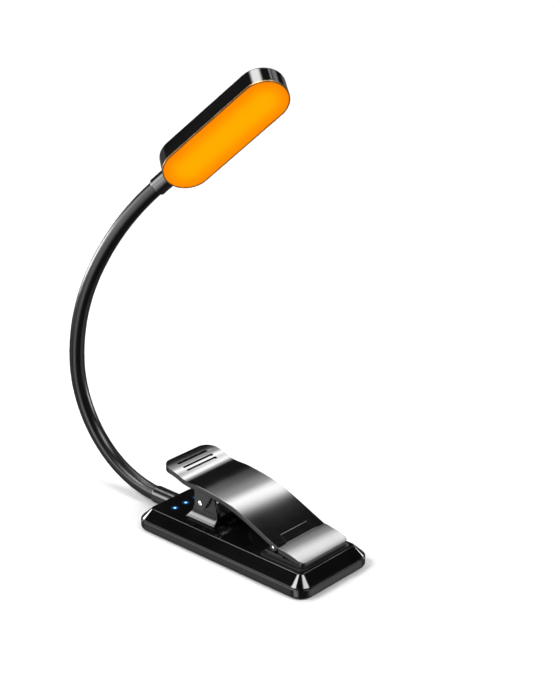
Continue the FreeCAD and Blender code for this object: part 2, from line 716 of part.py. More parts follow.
def torsion_spring():
    """A double-ended coil round the pivot pin: one leg on the bracket floor, one under the lever."""
    radius, wire, pitch = dim("spring_radius"), dim("spring_wire"), dim("spring_pitch")
    floor_leg = math.radians(dim("spring_floor_leg_angle"))
    lever_leg = math.radians(dim("spring_lever_leg_angle"))
    turns = dim("spring_full_turns") + (lever_leg - floor_leg) / (2 * math.pi)
    helix = Part.makeHelix(pitch, pitch * turns, radius)
    start = Vector(radius, 0, 0)
    section = Part.Wire(Part.makeCircle(wire, start, Vector(0, 1, pitch / (2 * math.pi * radius))))
    coil = Part.Wire(helix.Edges).makePipeShell([section], True, True)
    legs = [Part.makeCylinder(wire, dim("spring_floor_leg"), start, Vector(0, -1, 0))]
    end_turn = lever_leg - floor_leg
    end = Vector(radius * math.cos(end_turn), radius * math.sin(end_turn), pitch * turns)
    tangent = Vector(-math.sin(end_turn), math.cos(end_turn), 0)
    legs.append(Part.makeCylinder(wire, dim("spring_lever_leg"), end, tangent))
    spring = doc.addObject("Part::Feature", "torsion_spring")
    spring.Shape = coil.fuse(legs)
    phase = Rotation(Vector(0, 0, 1), math.degrees(floor_leg))
    across = Rotation(Vector(1, 0, 0), -90)
    middle = Vector(dim("pivot_x"), -pitch * turns / 2, dim("pivot_z"))
    spring.Placement = Placement(middle, across.multiply(phase))
    keep(spring, "torsion_spring")


clip_bracket()
clip_lever()
jaw_plate()
half_pin = dim("lever_ear_outside") + 0.3
keep(cylinder("pivot_pin", "dims.pivot_radius", "2 * (dims.lever_ear_outside + 0.3)",
              (dim("pivot_x"), -half_pin, dim("pivot_z")), ALONG_Y), "pivot_pin")
keep(cylinder("jaw_pin", "dims.jaw_pin_radius", "dims.lever_width + 0.2",
              (dim("jaw_pin_x"), -dim("lever_width") / 2 - 0.1, dim("jaw_pin_z")), ALONG_Y), "jaw_pin")
soft_pad("jaw_pad", dim("jaw_rear"), dim("jaw_front") - 0.3, dim("jaw_bottom") - dim("pad_thickness"),
         "dims.pad_thickness", "dims.lever_width - 0.4")
soft_pad("lower_grip_pad", dim("lower_pad_rear"), dim("lower_pad_front"), dim("base_height"),
         "dims.lower_pad_thickness", "dims.lower_pad_width")
torsion_spring()


# ---------------------------------------------------------------- the neck
def neck_segments():
    """Eight arcs end to end: start point, tangent, direction of the bend's centre, radius, angle."""
    point = Vector(dim("neck_start"), 0, dim("neck_level"))
    tangent, inward = Vector(-1, 0, 0), Vector(0, 0, 1)
    segments = []
    for bend, roll, count in (("lower", 0.0, 4), ("middle", dim("middle_bend_roll"), 2),
                              ("upper", dim("upper_bend_roll"), 2)):
        inward = Rotation(tangent, roll).multVec(inward)
        step = math.radians(dim(bend + "_bend_angle")) / count
        radius = dim(bend + "_bend_radius")
        for _ in range(count):
            segments.append((point, tangent, inward, bend, count))
            point = point + (tangent * math.sin(step) + inward * (1 - math.cos(step))) * radius
            old_tangent = tangent
            tangent = old_tangent * math.cos(step) + inward * math.sin(step)
            inward = inward * math.cos(step) - old_tangent * math.sin(step)
    return segments, point, tangent, inward


def arc_tube(name, segment, radius, shorter_by=0.0):
    """A bent round bar that follows one arc of the neck, its far end set back by a length."""
    point, tangent, inward, bend, count = segment
    sizes = {"Radius1": "dims.%s_bend_radius" % bend, "Radius2": radius,
             "Angle3": "dims.%s_bend_angle / %d - %f" % (
                 bend, count, math.degrees(shorter_by / dim(bend + "_bend_radius")))}
    centre = point + inward * dim(bend + "_bend_radius")
    turn = Rotation(inward * -1, tangent, (inward * -1).cross(tangent), "XYZ")
    return primitive("Torus", name, sizes, Placement(centre, turn))


def full_ring(name, segment, radius):
    """The whole ring that one arc belongs to, used to bore it from end to end."""
    ring = arc_tube(name, segment, radius)
    ring.setExpression("Angle3", "360")
    return ring


def ball(name, centre, radius):
    return primitive("Sphere", name, {"Radius": radius}, Placement(centre, Rotation()))


def neck():
    """Each segment starts in a ball and ends in a cup, so that the next one can swivel in it."""
    segments, end, end_tangent, end_inward = neck_segments()
    last = len(segments)
    stub = dim("neck_stub")
    for number, segment in enumerate(segments, start=1):
        point, tangent = segment[0], segment[1]
        name = "neck_sleeve_%d" % number
        solids = [arc_tube(name + "_arc", segment, "dims.sleeve_radius")]
        bores = [full_ring(name + "_bore", segment, "dims.core_radius + dims.core_gap")]
        core_name = "neck_core_%d" % number
        core_setback = 0.0 if number == last else dim("sleeve_radius") + 0.6
        cores = [arc_tube(core_name + "_arc", segment, "dims.core_radius", core_setback)]
        if number == 1:
            root = point - tangent * stub
            solids.append(cylinder(name + "_root", "dims.sleeve_radius", "dims.neck_stub", root, tangent))
            bores.append(cylinder(name + "_root_bore", "dims.core_radius + dims.core_gap",
                                  "dims.neck_stub", root, tangent))
            cores.append(cylinder(core_name + "_root", "dims.core_radius", "dims.neck_stub", root, tangent))
        else:
            solids.append(ball(name + "_ball", point, "dims.sleeve_radius"))
        if number == last:
            solids.append(cylinder(name + "_tip", "dims.sleeve_radius", "dims.neck_stub", end, end_tangent))
            bores.append(cylinder(name + "_tip_bore", "dims.core_radius + dims.core_gap",
                                  "dims.neck_stub", end, end_tangent))
            cores.append(cylinder(core_name + "_tip", "dims.core_radius", "dims.neck_stub", end, end_tangent))
        else:
            bores.append(ball(name + "_cup", segments[number][0], "dims.sleeve_radius + dims.socket_gap"))
        sleeve = cut(name, fuse(name + "_blank", solids), fuse(name + "_bores", bores))
        keep(sleeve, name)
        keep(fuse(core_name, cores) if len(cores) > 1 else cores[0], core_name)
    return end, end_tangent, end_inward


def base_collar():
    """The ferrule that the neck leaves the base through."""
    body = new_body("base_collar")
    level, outer = dim("neck_level"), dim("collar_radius")
    ring = sketch_on(body, "YZ_Plane", (0, level, dim("neck_start")))
    circles(ring, [(0, 0)], "dims.collar_radius")
    pad(body, ring, "dims.collar_length")
    mouth = sketch_on(body, "YZ_Plane", (0, level, dim("neck_start")))
    circles(mouth, [(0, 0)], "dims.sleeve_radius")
    pocket(body, mouth, "dims.neck_stub", along_normal=True)
    wire_way = sketch_on(body, "YZ_Plane", (0, level, dim("neck_start")))
    circles(wire_way, [(0, 0)], "dims.core_radius")
    pocket(body, wire_way, "12", along_normal=True)
    round_edges(body, "dims.collar_edge_round", lambda edge: edge.BoundBox.XMax < dim("neck_start") + 1e-3
                and edge.BoundBox.YLength > 2 * outer - 0.01)


neck_end, head_axis, bend_side = neck()
base_collar()

# ---------------------------------------------------------------- the head
face_side = Rotation(head_axis, dim("head_roll")).multVec(bend_side)
head_place = Placement(neck_end, Rotation(head_axis, face_side.cross(head_axis), face_side, "XYZ"))
head_middle = dim("head_gap") + dim("head_length") / 2
face = dim("head_thickness") / 2


def head_body(label):
    """A body in the head's own frame: X along the head from the neck's end, Z out of the lit face."""
    body = new_body(label)
    body.Placement = head_place
    return body


def stadium_slab(body, margin, bottom, thickness):
    """A slab with round ends, its outline set in from the head's own by a margin (an expression)."""
    plan = sketch_on(body, "XY_Plane", (head_middle, 0, bottom))
    slot(plan, "dims.head_length - 2 * (%s)" % margin, "dims.head_width - 2 * (%s)" % margin)
    return pad(body, plan, thickness)


def head_shell():
    body = head_body("head_shell")
    stadium_slab(body, "0", -face, "dims.head_thickness")
    round_edges(body, "dims.head_edge_round", flat_at(-face))
    hollow = sketch_on(body, "XY_Plane", (head_middle, 0, face))
    slot(hollow, "dims.head_length - 2 * dims.head_wall", "dims.head_width - 2 * dims.head_wall")
    pocket(body, hollow, "dims.head_thickness - dims.head_wall")
    ledge = sketch_on(body, "XY_Plane", (head_middle, 0, face))
    slot(ledge, "dims.head_length", "dims.head_width")
    pocket(body, ledge, "dims.trim_depth")
    seat = sketch_on(body, "XY_Plane", (head_middle, 0, face))
    slot(seat, "dims.head_length - 2 * dims.trim_width", "dims.head_width - 2 * dims.trim_width")
    pocket(body, seat, "dims.diffuser_thickness")
    entry = sketch_on(body, "YZ_Plane")
    circles(entry, [(0, 0)], "dims.head_collar_radius")
    pocket(body, entry, "dims.head_gap + dims.head_collar_inside", along_normal=True)


def head_trim_ring():
    body = head_body("head_trim_ring")
    stadium_slab(body, "0", face - dim("trim_depth"), "dims.trim_depth")
    middle = sketch_on(body, "XY_Plane", (head_middle, 0, face))
    slot(middle, "dims.head_length - 2 * dims.trim_width", "dims.head_width - 2 * dims.trim_width")
    pocket(body, middle, "dims.trim_depth")


def diffuser():
    body = head_body("diffuser")
    stadium_slab(body, "dims.trim_width", face - dim("diffuser_thickness"), "dims.diffuser_thickness")
    round_edges(body, "0.2", flat_at(face))


def led_board():
    body = head_body("led_board")
    stadium_slab(body, "dims.head_wall + 0.6", -0.6, "dims.led_board_thickness")
    notch = sketch_on(body, "YZ_Plane")
    reach = dim("head_collar_radius") + 0.2
    outline(notch, [(-reach, -2.0), (reach, -2.0), (reach, 2.0), (-reach, 2.0)])
    pocket(body, notch, "dims.head_gap + dims.head_collar_inside + 0.3", along_normal=True)


def reading_leds():
    """Two rows of six light-emitting chips on the board."""
    lights = []
    columns = int(dim("led_columns"))
    for column in range(columns):
        for side in (-1, 1):
            x = head_middle + dim("led_pitch") * (column - (columns - 1) / 2)
            y = side * dim("led_row_y")
            light = box("light_%d_%d" % (column, side), "dims.led_length", "dims.led_width",
                        "dims.led_height", 0, 0, 0)
            corner = Vector(x - dim("led_length") / 2, y - dim("led_width") / 2,
                            dim("led_board_thickness") - 0.6)
            light.Placement = head_place.multiply(Placement(corner, Rotation()))
            lights.append(light)
    keep(group("reading_leds", lights), "reading_leds")


def head_collar():
    body = head_body("head_collar")
    ring = sketch_on(body, "YZ_Plane")
    circles(ring, [(0, 0)], "dims.head_collar_radius")
    pad(body, ring, "dims.head_gap + dims.head_collar_inside")
    mouth = sketch_on(body, "YZ_Plane")
    circles(mouth, [(0, 0)], "dims.sleeve_radius + dims.running_gap")
    pocket(body, mouth, "dims.neck_stub + 0.2", along_normal=True)
    wire_way = sketch_on(body, "YZ_Plane")
    circles(wire_way, [(0, 0)], "dims.wire_way_radius")
    pocket(body, wire_way, "dims.head_gap + dims.head_collar_inside + 1", along_normal=True)
    under_diffuser = sketch_on(body, "XY_Plane", (head_middle, 0, face))
    slot(under_diffuser, "dims.head_length + 2 * dims.running_gap", "dims.head_width + 2 * dims.running_gap")
    pocket(body, under_diffuser, "dims.diffuser_thickness + dims.running_gap")
    round_edges(body, "0.4", lambda edge: edge.BoundBox.XMax < 1e-3
                and edge.BoundBox.YLength > 2 * dim("head_collar_radius") - 0.01)


head_collar()
head_shell()
head_trim_ring()
diffuser()
led_board()
reading_leds()

# ---------------------------------------------------------------- check and write
doc.recompute()
for obj in doc.Objects:
    if "Invalid" in obj.State or "Error" in obj.State:
        raise RuntimeError("%s (%s) failed: %s" % (obj.Name, obj.Label, obj.State))
for part in parts:
    if part.Shape.isNull() or not part.Shape.isValid():
        raise RuntimeError("the shape of %s is empty or invalid" % part.Label)
    part.Shape.exportStep("parts/%s.step" % part.Label)
    print("%-20s solids %d volume %8.1f" % (part.Label, len(part.Shape.Solids), part.Shape.Volume))
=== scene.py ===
"""The looks of the clip-on reading lamp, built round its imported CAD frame. Metres throughout."""
import json
import math

import bmesh
import bpy
import numpy as np
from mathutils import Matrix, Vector


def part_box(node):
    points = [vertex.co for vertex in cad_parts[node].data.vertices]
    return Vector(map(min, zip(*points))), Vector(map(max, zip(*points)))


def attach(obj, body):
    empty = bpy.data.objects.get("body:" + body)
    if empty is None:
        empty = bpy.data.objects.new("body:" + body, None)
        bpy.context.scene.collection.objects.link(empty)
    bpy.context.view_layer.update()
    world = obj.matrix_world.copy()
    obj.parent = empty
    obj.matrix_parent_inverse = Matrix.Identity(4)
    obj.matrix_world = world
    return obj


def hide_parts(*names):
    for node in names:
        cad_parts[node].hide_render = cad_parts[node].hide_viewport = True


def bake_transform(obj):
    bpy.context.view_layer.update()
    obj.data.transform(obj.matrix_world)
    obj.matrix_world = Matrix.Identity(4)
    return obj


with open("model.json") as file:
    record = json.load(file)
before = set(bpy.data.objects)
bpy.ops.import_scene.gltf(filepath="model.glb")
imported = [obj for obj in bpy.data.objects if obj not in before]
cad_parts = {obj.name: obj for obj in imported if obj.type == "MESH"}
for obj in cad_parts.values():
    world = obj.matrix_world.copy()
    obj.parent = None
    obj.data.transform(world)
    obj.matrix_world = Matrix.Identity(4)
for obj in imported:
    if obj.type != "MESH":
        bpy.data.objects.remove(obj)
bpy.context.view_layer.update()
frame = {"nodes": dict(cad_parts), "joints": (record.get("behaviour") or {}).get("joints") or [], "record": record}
MM = 0.001
ALONG, ACROSS, UP = Vector((1, 0, 0)), Vector((0, 1, 0)), Vector((0, 0, 1))
JOINTS = {joint["name"]: joint for joint in frame["joints"]}
nodes = frame["nodes"]


# ---------------------------------------------------------------- camera, floor, light
VIEW_AZIMUTH = math.radians(42.0)
VIEW_ELEVATION = math.radians(22.8)
VIEW_DISTANCE = 0.635
AIM_RIGHT = 0.0102
AIM_UP = 0.0687
LENS = 92.7


def view_axes():
    """Unit vectors towards the camera, to the picture's right and up the picture."""
    sin_a, cos_a = math.sin(VIEW_AZIMUTH), math.cos(VIEW_AZIMUTH)
    sin_e, cos_e = math.sin(VIEW_ELEVATION), math.cos(VIEW_ELEVATION)
    towards = Vector((sin_a * cos_e, -cos_a * cos_e, sin_e))
    right = Vector((cos_a, sin_a, 0))
    up = Vector((-sin_a * sin_e, cos_a * sin_e, cos_e))
    return towards, right, up


def add_camera():
    towards, right, up = view_axes()
    data = bpy.data.cameras.new("camera")
    data.lens = LENS
    data.clip_start = 0.01
    camera = bpy.data.objects.new("camera", data)
    camera.location = right * AIM_RIGHT + up * AIM_UP + towards * VIEW_DISTANCE
    camera.rotation_euler = (-towards).to_track_quat("-Z", "Y").to_euler()
    bpy.context.scene.collection.objects.link(camera)
    bpy.context.scene.camera = camera


def compass(azimuth, elevation):
    """A unit vector from an azimuth (anticlockwise from +X) and an elevation, both in degrees."""
    a, e = math.radians(azimuth), math.radians(elevation)
    return Vector((math.cos(a) * math.cos(e), math.sin(a) * math.cos(e), math.sin(e)))


def dot(tree, vector, direction):
    node = tree.nodes.new("ShaderNodeVectorMath")
    node.operation = "DOT_PRODUCT"
    tree.links.new(vector, node.inputs[0])
    node.inputs[1].default_value = direction
    return node.outputs["Value"]


def math_node(tree, operation, first, second=None, third=None):
    """A Math node of up to three inputs, each a socket or a number."""
    node = tree.nodes.new("ShaderNodeMath")
    node.operation = operation
    for socket, value in zip(node.inputs, (first, second, third)):
        if value is None:
            continue
        if isinstance(value, (int, float)):
            socket.default_value = value
        else:
            tree.links.new(value, socket)
    return node.outputs[0]


def fade(tree, value, one_at, zero_at):
    """1 where the value is at one_at or beyond, 0 at zero_at, with a smooth step between."""
    node = tree.nodes.new("ShaderNodeMapRange")
    node.interpolation_type = "SMOOTHSTEP"
    node.inputs["From Min"].default_value = zero_at
    node.inputs["From Max"].default_value = one_at
    tree.links.new(value, node.inputs["Value"])
    return node.outputs[0]


# Soft boxes round the object: the direction they hang in, the way that their width runs, then
# half width, half height, softness of the edges and strength.
SOFT_BOXES = {
    "behind": (compass(121, 45.5), compass(31, 0), 0.215, 0.060, 0.050, 16.0),
    "behind_low": (compass(124, 39.5), compass(34, 0), 0.19, 0.06, 0.05, 3.4),
    "behind_right": (compass(92, 34.0), compass(2, 0), 0.15, 0.13, 0.06, 2.0),
    "left": (compass(-133, 17.0), compass(-43, 0), 0.30, 0.20, 0.12, 13.0),
    "front_left": (compass(-98, 5.0), compass(-8, 0), 0.28, 0.15, 0.10, 10.0),
    "left_high": (Vector((-0.50, 0.10, 0.86)), Vector((0.67, 0.67, 0.31)), 0.22, 0.14, 0.09, 19.0),
    "overhead_left": (Vector((-0.30, -0.55, 0.785)), Vector((0.957, -0.02, 0.29)), 0.20, 0.13, 0.07, 38.0),
    "low_side": (compass(-134, -23), compass(-44, 0), 0.24, 0.30, 0.16, 0.9),
    "low_left": (compass(-84, -23), compass(6, 0), 0.22, 0.40, 0.16, 6.0),
    "low_right": (compass(30, -23), compass(120, 0), 0.34, 0.34, 0.18, 1.6),
    "overhead_right": (Vector((0.565, 0.10, 0.82)), Vector((0.24, 0.935, -0.26)), 0.25, 0.13, 0.11, 32.0),
}
# The room's own brightness from straight down (-1) through the horizon (0) to straight up (1).
ROOM = ((-1.0, 0.20), (0.0, 0.20), (0.02, 0.6), (0.08, 0.30), (0.17, 0.03), (1.0, 0.02))


def soft_box(tree, direction, box):
    """The light that one soft box sends from each direction of the world."""
    facing, across, half_width, half_height, softness, strength = box
    facing = facing.normalized()
    along = facing.cross(across).normalized()
    across = along.cross(facing)
    in_front = fade(tree, dot(tree, direction, facing), 0.1, 0.0)
    result = math_node(tree, "MULTIPLY", in_front, strength)
    for axis, half in ((across, half_width), (along, half_height)):
        offset = math_node(tree, "ABSOLUTE", dot(tree, direction, axis))
        result = math_node(tree, "MULTIPLY", result, fade(tree, offset, half - softness, half + softness))
    return result


def add_world():
    """White to the camera, and a dim room with a paler horizon and soft boxes to everything else."""
    world = bpy.data.worlds.new("studio")
    world.use_nodes = True
    tree = world.node_tree
    tree.nodes.clear()
    direction = tree.nodes.new("ShaderNodeTexCoord").outputs["Generated"]
    ramp = tree.nodes.new("ShaderNodeValToRGB")
    fill_ramp(ramp, [((height + 1) / 2, (level, level, level)) for height, level in ROOM])
    height = dot(tree, direction, (0, 0, 1))
    tree.links.new(math_node(tree, "MULTIPLY_ADD", height, 0.5, 0.5), ramp.inputs[0])
    total = ramp.outputs[0]
    for box in SOFT_BOXES.values():
        total = math_node(tree, "ADD", total, soft_box(tree, direction, box))
    room = tree.nodes.new("ShaderNodeBackground")
    tree.links.new(total, room.inputs["Color"])
    backdrop = tree.nodes.new("ShaderNodeBackground")
    backdrop.inputs["Color"].default_value = (1, 1, 1, 1)
    rays = tree.nodes.new("ShaderNodeLightPath")
    mix = tree.nodes.new("ShaderNodeMixShader")
    tree.links.new(rays.outputs["Is Camera Ray"], mix.inputs[0])
    tree.links.new(room.outputs[0], mix.inputs[1])
    tree.links.new(backdrop.outputs[0], mix.inputs[2])
    output = tree.nodes.new("ShaderNodeOutputWorld")
    tree.links.new(mix.outputs[0], output.inputs["Surface"])
    bpy.context.scene.world = world
    bpy.context.scene.view_settings.view_transform = "Standard"


# Small soft lights that stand close by, one behind each end of the base:
# azimuth, elevation, width, height, watts.
RIM_LIGHTS = {"rim_left": (-168, 17.0, 0.11, 0.08, 0.9), "rim_right": (66, 12.0, 0.12, 0.08, 1.1)}
RIM_DISTANCE = 0.33


def add_rim_lights():
    for name, (azimuth, elevation, width, height, power) in RIM_LIGHTS.items():
        light = bpy.data.lights.new(name, "AREA")
        light.shape = "RECTANGLE"
        light.size, light.size_y = width, height
        light.energy = power
        lamp = bpy.data.objects.new(name, light)
        lamp.location = compass(azimuth, elevation) * RIM_DISTANCE
        lamp.rotation_euler = compass(azimuth, elevation).to_track_quat("Z", "Y").to_euler()
        lamp.visible_camera = False
        bpy.context.scene.collection.objects.link(lamp)


def fill_ramp(ramp, stops):
    """Set a colour ramp's stops from (place, (r, g, b)) pairs."""
    elements = ramp.color_ramp.elements
    while len(elements) > 1:
        elements.remove(elements[-1])
    elements[0].position = stops[0][0]
    elements[0].color = (*stops[0][1], 1)
    for place, colour in stops[1:]:
        element = elements.new(place)
        element.color = (*colour, 1)


FLOOR_HALF_SIZE = 8.0
FLOOR_GREY = 0.32


def add_floor():
    """A matt floor that takes the shadow. Glossy rays pass it by, so that black parts don't mirror it."""
    size = FLOOR_HALF_SIZE
    mesh = bpy.data.meshes.new("floor")
    corners = [(-size, -size, 0), (size, -size, 0), (size, size, 0), (-size, size, 0)]
    mesh.from_pydata(corners, [], [(0, 1, 2, 3)])
    floor = bpy.data.objects.new("floor", mesh)
    bpy.context.scene.collection.objects.link(floor)
    paint_job = bpy.data.materials.new("floor_paint")
    paint_job.use_nodes = True
    shader = paint_job.node_tree.nodes["Principled BSDF"]
    shader.inputs["Base Color"].default_value = (FLOOR_GREY, FLOOR_GREY, FLOOR_GREY, 1)
    shader.inputs["Roughness"].default_value = 0.8
    shader.inputs["Specular IOR Level"].default_value = 0.1
    mesh.materials.append(paint_job)
    floor.visible_glossy = False


# ---------------------------------------------------------------- materials
def new_material(name):
    material = bpy.data.materials.new(name)
    material.use_nodes = True
    return material, material.node_tree, material.node_tree.nodes["Principled BSDF"]


def own_position(tree):
    return tree.nodes.new("ShaderNodeTexCoord").outputs["Object"]


def noise(tree, scale, detail=4.0, stretch=(1, 1, 1)):
    """Noise in the object's own coordinates; scale is in features per metre."""
    mapping = tree.nodes.new("ShaderNodeMapping")
    mapping.inputs["Scale"].default_value = stretch
    tree.links.new(own_position(tree), mapping.inputs["Vector"])
    texture = tree.nodes.new("ShaderNodeTexNoise")
    texture.inputs["Scale"].default_value = scale
    texture.inputs["Detail"].default_value = detail
    tree.links.new(mapping.outputs[0], texture.inputs["Vector"])
    return texture.outputs["Fac"]


def vary(tree, factor, socket, low, high):
    """Drive one socket between two values by a factor."""
    spread = tree.nodes.new("ShaderNodeMapRange")
    spread.inputs["From Min"].default_value = 0.3
    spread.inputs["From Max"].default_value = 0.7
    spread.inputs["To Min"].default_value = low
    spread.inputs["To Max"].default_value = high
    tree.links.new(factor, spread.inputs["Value"])
    tree.links.new(spread.outputs[0], socket)


def vary_colour(tree, factor, socket, low, high):
    ramp = tree.nodes.new("ShaderNodeValToRGB")
    fill_ramp(ramp, [(0.3, low), (0.7, high)])
    tree.links.new(factor, ramp.inputs[0])
    tree.links.new(ramp.outputs[0], socket)


def bump(tree, factor, shader, height, strength=1.0):
    node = tree.nodes.new("ShaderNodeBump")
    node.inputs["Strength"].default_value = strength
    node.inputs["Distance"].default_value = height
    tree.links.new(factor, node.inputs["Height"])
    tree.links.new(node.outputs[0], shader.inputs["Normal"])


def grey(level):
    return (level, level, level)


def gloss_plastic(name, dark, light, roughness=(0.05, 0.10), grain=700.0, height=4e-7, specular=0.5):
    """Polished moulded plastic: faint orange peel, and haze that varies from place to place."""
    material, tree, shader = new_material(name)
    vary_colour(tree, noise(tree, 60.0), shader.inputs["Base Color"], dark, light)
    vary(tree, noise(tree, 140.0, 6.0), shader.inputs["Roughness"], *roughness)
    bump(tree, noise(tree, grain, 2.0), shader, height)
    shader.inputs["Specular IOR Level"].default_value = specular
    return material


def metal(name, dark, light, roughness=(0.18, 0.32), grain=2500.0, height=1e-6, stretch=(1, 1, 1)):
    material, tree, shader = new_material(name)
    shader.inputs["Metallic"].default_value = 1.0
    vary_colour(tree, noise(tree, 300.0), shader.inputs["Base Color"], dark, light)
    vary(tree, noise(tree, 500.0, 6.0), shader.inputs["Roughness"], *roughness)
    bump(tree, noise(tree, grain, 3.0, stretch), shader, height)
    return material


def rubber(name, dark, light, roughness=(0.42, 0.55), grain=4000.0, height=6e-6, specular=0.45):
    """Moulded rubber: a fine matt grain with slightly polished patches."""
    material, tree, shader = new_material(name)
    vary_colour(tree, noise(tree, 200.0), shader.inputs["Base Color"], dark, light)
    vary(tree, noise(tree, 120.0, 5.0), shader.inputs["Roughness"], *roughness)
    bump(tree, noise(tree, grain, 5.0), shader, height)
    shader.inputs["Specular IOR Level"].default_value = specular
    return material


def window_rows():
    """The middle of the row of indicator windows, their radius and the step between them."""
    low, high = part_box("indicator_windows")
    radius = (high.x - low.x) / 2
    pitch = (high.y - low.y - 2 * radius) / 3
    return (low.x + high.x) / 2, (low.y + high.y) / 2, radius, pitch


def distance_to_windows(tree):
    """Each point's distance from the nearest indicator window's middle, seen from above."""
    middle_x, middle_y, _, pitch = window_rows()
    split = tree.nodes.new("ShaderNodeSeparateXYZ")
    tree.links.new(own_position(tree), split.inputs[0])
    along = math_node(tree, "ABSOLUTE", math_node(tree, "SUBTRACT", split.outputs["Y"], middle_y))
    near = math_node(tree, "ABSOLUTE", math_node(tree, "SUBTRACT", along, pitch / 2))
    far = math_node(tree, "ABSOLUTE", math_node(tree, "SUBTRACT", along, 1.5 * pitch))
    step = math_node(tree, "MINIMUM", near, far)
    across = math_node(tree, "SUBTRACT", split.outputs["X"], middle_x)
    squares = math_node(tree, "MULTIPLY_ADD", across, across, math_node(tree, "MULTIPLY", step, step))
    return math_node(tree, "SQRT", squares)


# Painted light: how far and how strongly the blue glow painted on the deck reaches round each indicator window.
PAINTED_GLOW_REACH = 3.6        # in radii of a window
PAINTED_GLOW_STRENGTH = 0.55


def shell_black():
    """Piano black, with a painted pool of blue light from the indicators on the deck round each one."""
    material = gloss_plastic("shell_black", grey(0.0008), grey(0.0016), (0.04, 0.08), specular=0.24)
    tree = material.node_tree
    shader = tree.nodes["Principled BSDF"]
    _, _, radius, _ = window_rows()
    # Painted light: blue emission on the deck, fading out from each window, stands in for the indicators' light
    # falling on it.
    painted_glow = fade(tree, distance_to_windows(tree), radius, PAINTED_GLOW_REACH * radius)
    shader.inputs["Emission Color"].default_value = (0.02, 0.16, 0.55, 1)
    painted_glow = math_node(tree, "MULTIPLY", math_node(tree, "POWER", painted_glow, 2.0), PAINTED_GLOW_STRENGTH)
    tree.links.new(painted_glow, shader.inputs["Emission Strength"])
    return material


def indicator_blue():
    """A clear light guide, white-hot in the middle and blue at its rim."""
    material, tree, shader = new_material("indicator_blue")
    _, _, radius, _ = window_rows()
    ramp = tree.nodes.new("ShaderNodeValToRGB")
    fill_ramp(ramp, [(0.0, (0.55, 0.9, 1.0)), (0.55, (0.18, 0.55, 1.0)), (1.0, (0.02, 0.2, 0.7))])
    share = math_node(tree, "DIVIDE", distance_to_windows(tree), radius)
    tree.links.new(share, ramp.inputs[0])
    tree.links.new(ramp.outputs[0], shader.inputs["Emission Color"])
    shader.inputs["Emission Strength"].default_value = 1.6
    shader.inputs["Base Color"].default_value = (0.1, 0.2, 0.3, 1)
    vary(tree, noise(tree, 900.0), shader.inputs["Roughness"], 0.15, 0.25)
    return material


def head_axes():
    """The head's middle, unit vectors along it and across it, and its half length and half width."""
    along = Vector(JOINTS["head_twist"]["axis"]).normalized()
    mesh = nodes["diffuser"].data
    facing = max((p for p in mesh.polygons if p.normal.z < 0), key=lambda p: p.area).normal.copy()
    facing = (facing - along * facing.dot(along)).normalized()
    across = facing.cross(along)
    spread = [[v.co.dot(axis) for v in mesh.vertices] for axis in (along, across, facing)]
    middle = sum(((min(s) + max(s)) / 2 * axis for s, axis in zip(spread, (along, across, facing))), Vector())
    half_length, half_width = (max(spread[0]) - min(spread[0])) / 2, (max(spread[1]) - min(spread[1])) / 2
    return middle, along, across, half_length, half_width


def diffuser_amber():
    """A frosted amber light guide, lit: yellower along its middle, deeper orange at its rim."""
    material, tree, shader = new_material("diffuser_amber")
    middle, along, across, half_length, half_width = head_axes()
    offset = tree.nodes.new("ShaderNodeVectorMath")
    offset.operation = "SUBTRACT"
    tree.links.new(own_position(tree), offset.inputs[0])
    offset.inputs[1].default_value = middle
    past = math_node(tree, "SUBTRACT", math_node(tree, "ABSOLUTE", dot(tree, offset.outputs[0], along)),
                     half_length - half_width)
    past = math_node(tree, "MAXIMUM", past, 0.0)
    side = dot(tree, offset.outputs[0], across)
    squares = math_node(tree, "MULTIPLY_ADD", past, past, math_node(tree, "MULTIPLY", side, side))
    share = math_node(tree, "DIVIDE", math_node(tree, "SQRT", squares), half_width)
    cloud = math_node(tree, "MULTIPLY_ADD", noise(tree, 120.0, 2.0), 0.12, -0.06)
    ramp = tree.nodes.new("ShaderNodeValToRGB")
    fill_ramp(ramp, [(0.0, (1.0, 0.42, 0.0)), (0.35, (1.0, 0.40, 0.0)), (0.75, (1.0, 0.29, 0.0)),
                     (0.96, (1.0, 0.25, 0.0)), (1.0, (0.80, 0.17, 0.0))])
    tree.links.new(math_node(tree, "ADD", share, cloud), ramp.inputs[0])
    tree.links.new(ramp.outputs[0], shader.inputs["Emission Color"])
    shader.inputs["Emission Strength"].default_value = 1.0
    shader.inputs["Base Color"].default_value = (0.008, 0.003, 0.0003, 1)
    shader.inputs["Specular IOR Level"].default_value = 0.0
    vary(tree, noise(tree, 700.0), shader.inputs["Roughness"], 0.45, 0.6)
    bump(tree, noise(tree, 3000.0, 2.0), shader, 1e-6)
    return material


def paint(node_or_piece, material):
    """Put one material on every slot of an object."""
    mesh = node_or_piece.data
    if not mesh.materials:
        mesh.materials.append(material)
    for slot in node_or_piece.material_slots:
        slot.material = material


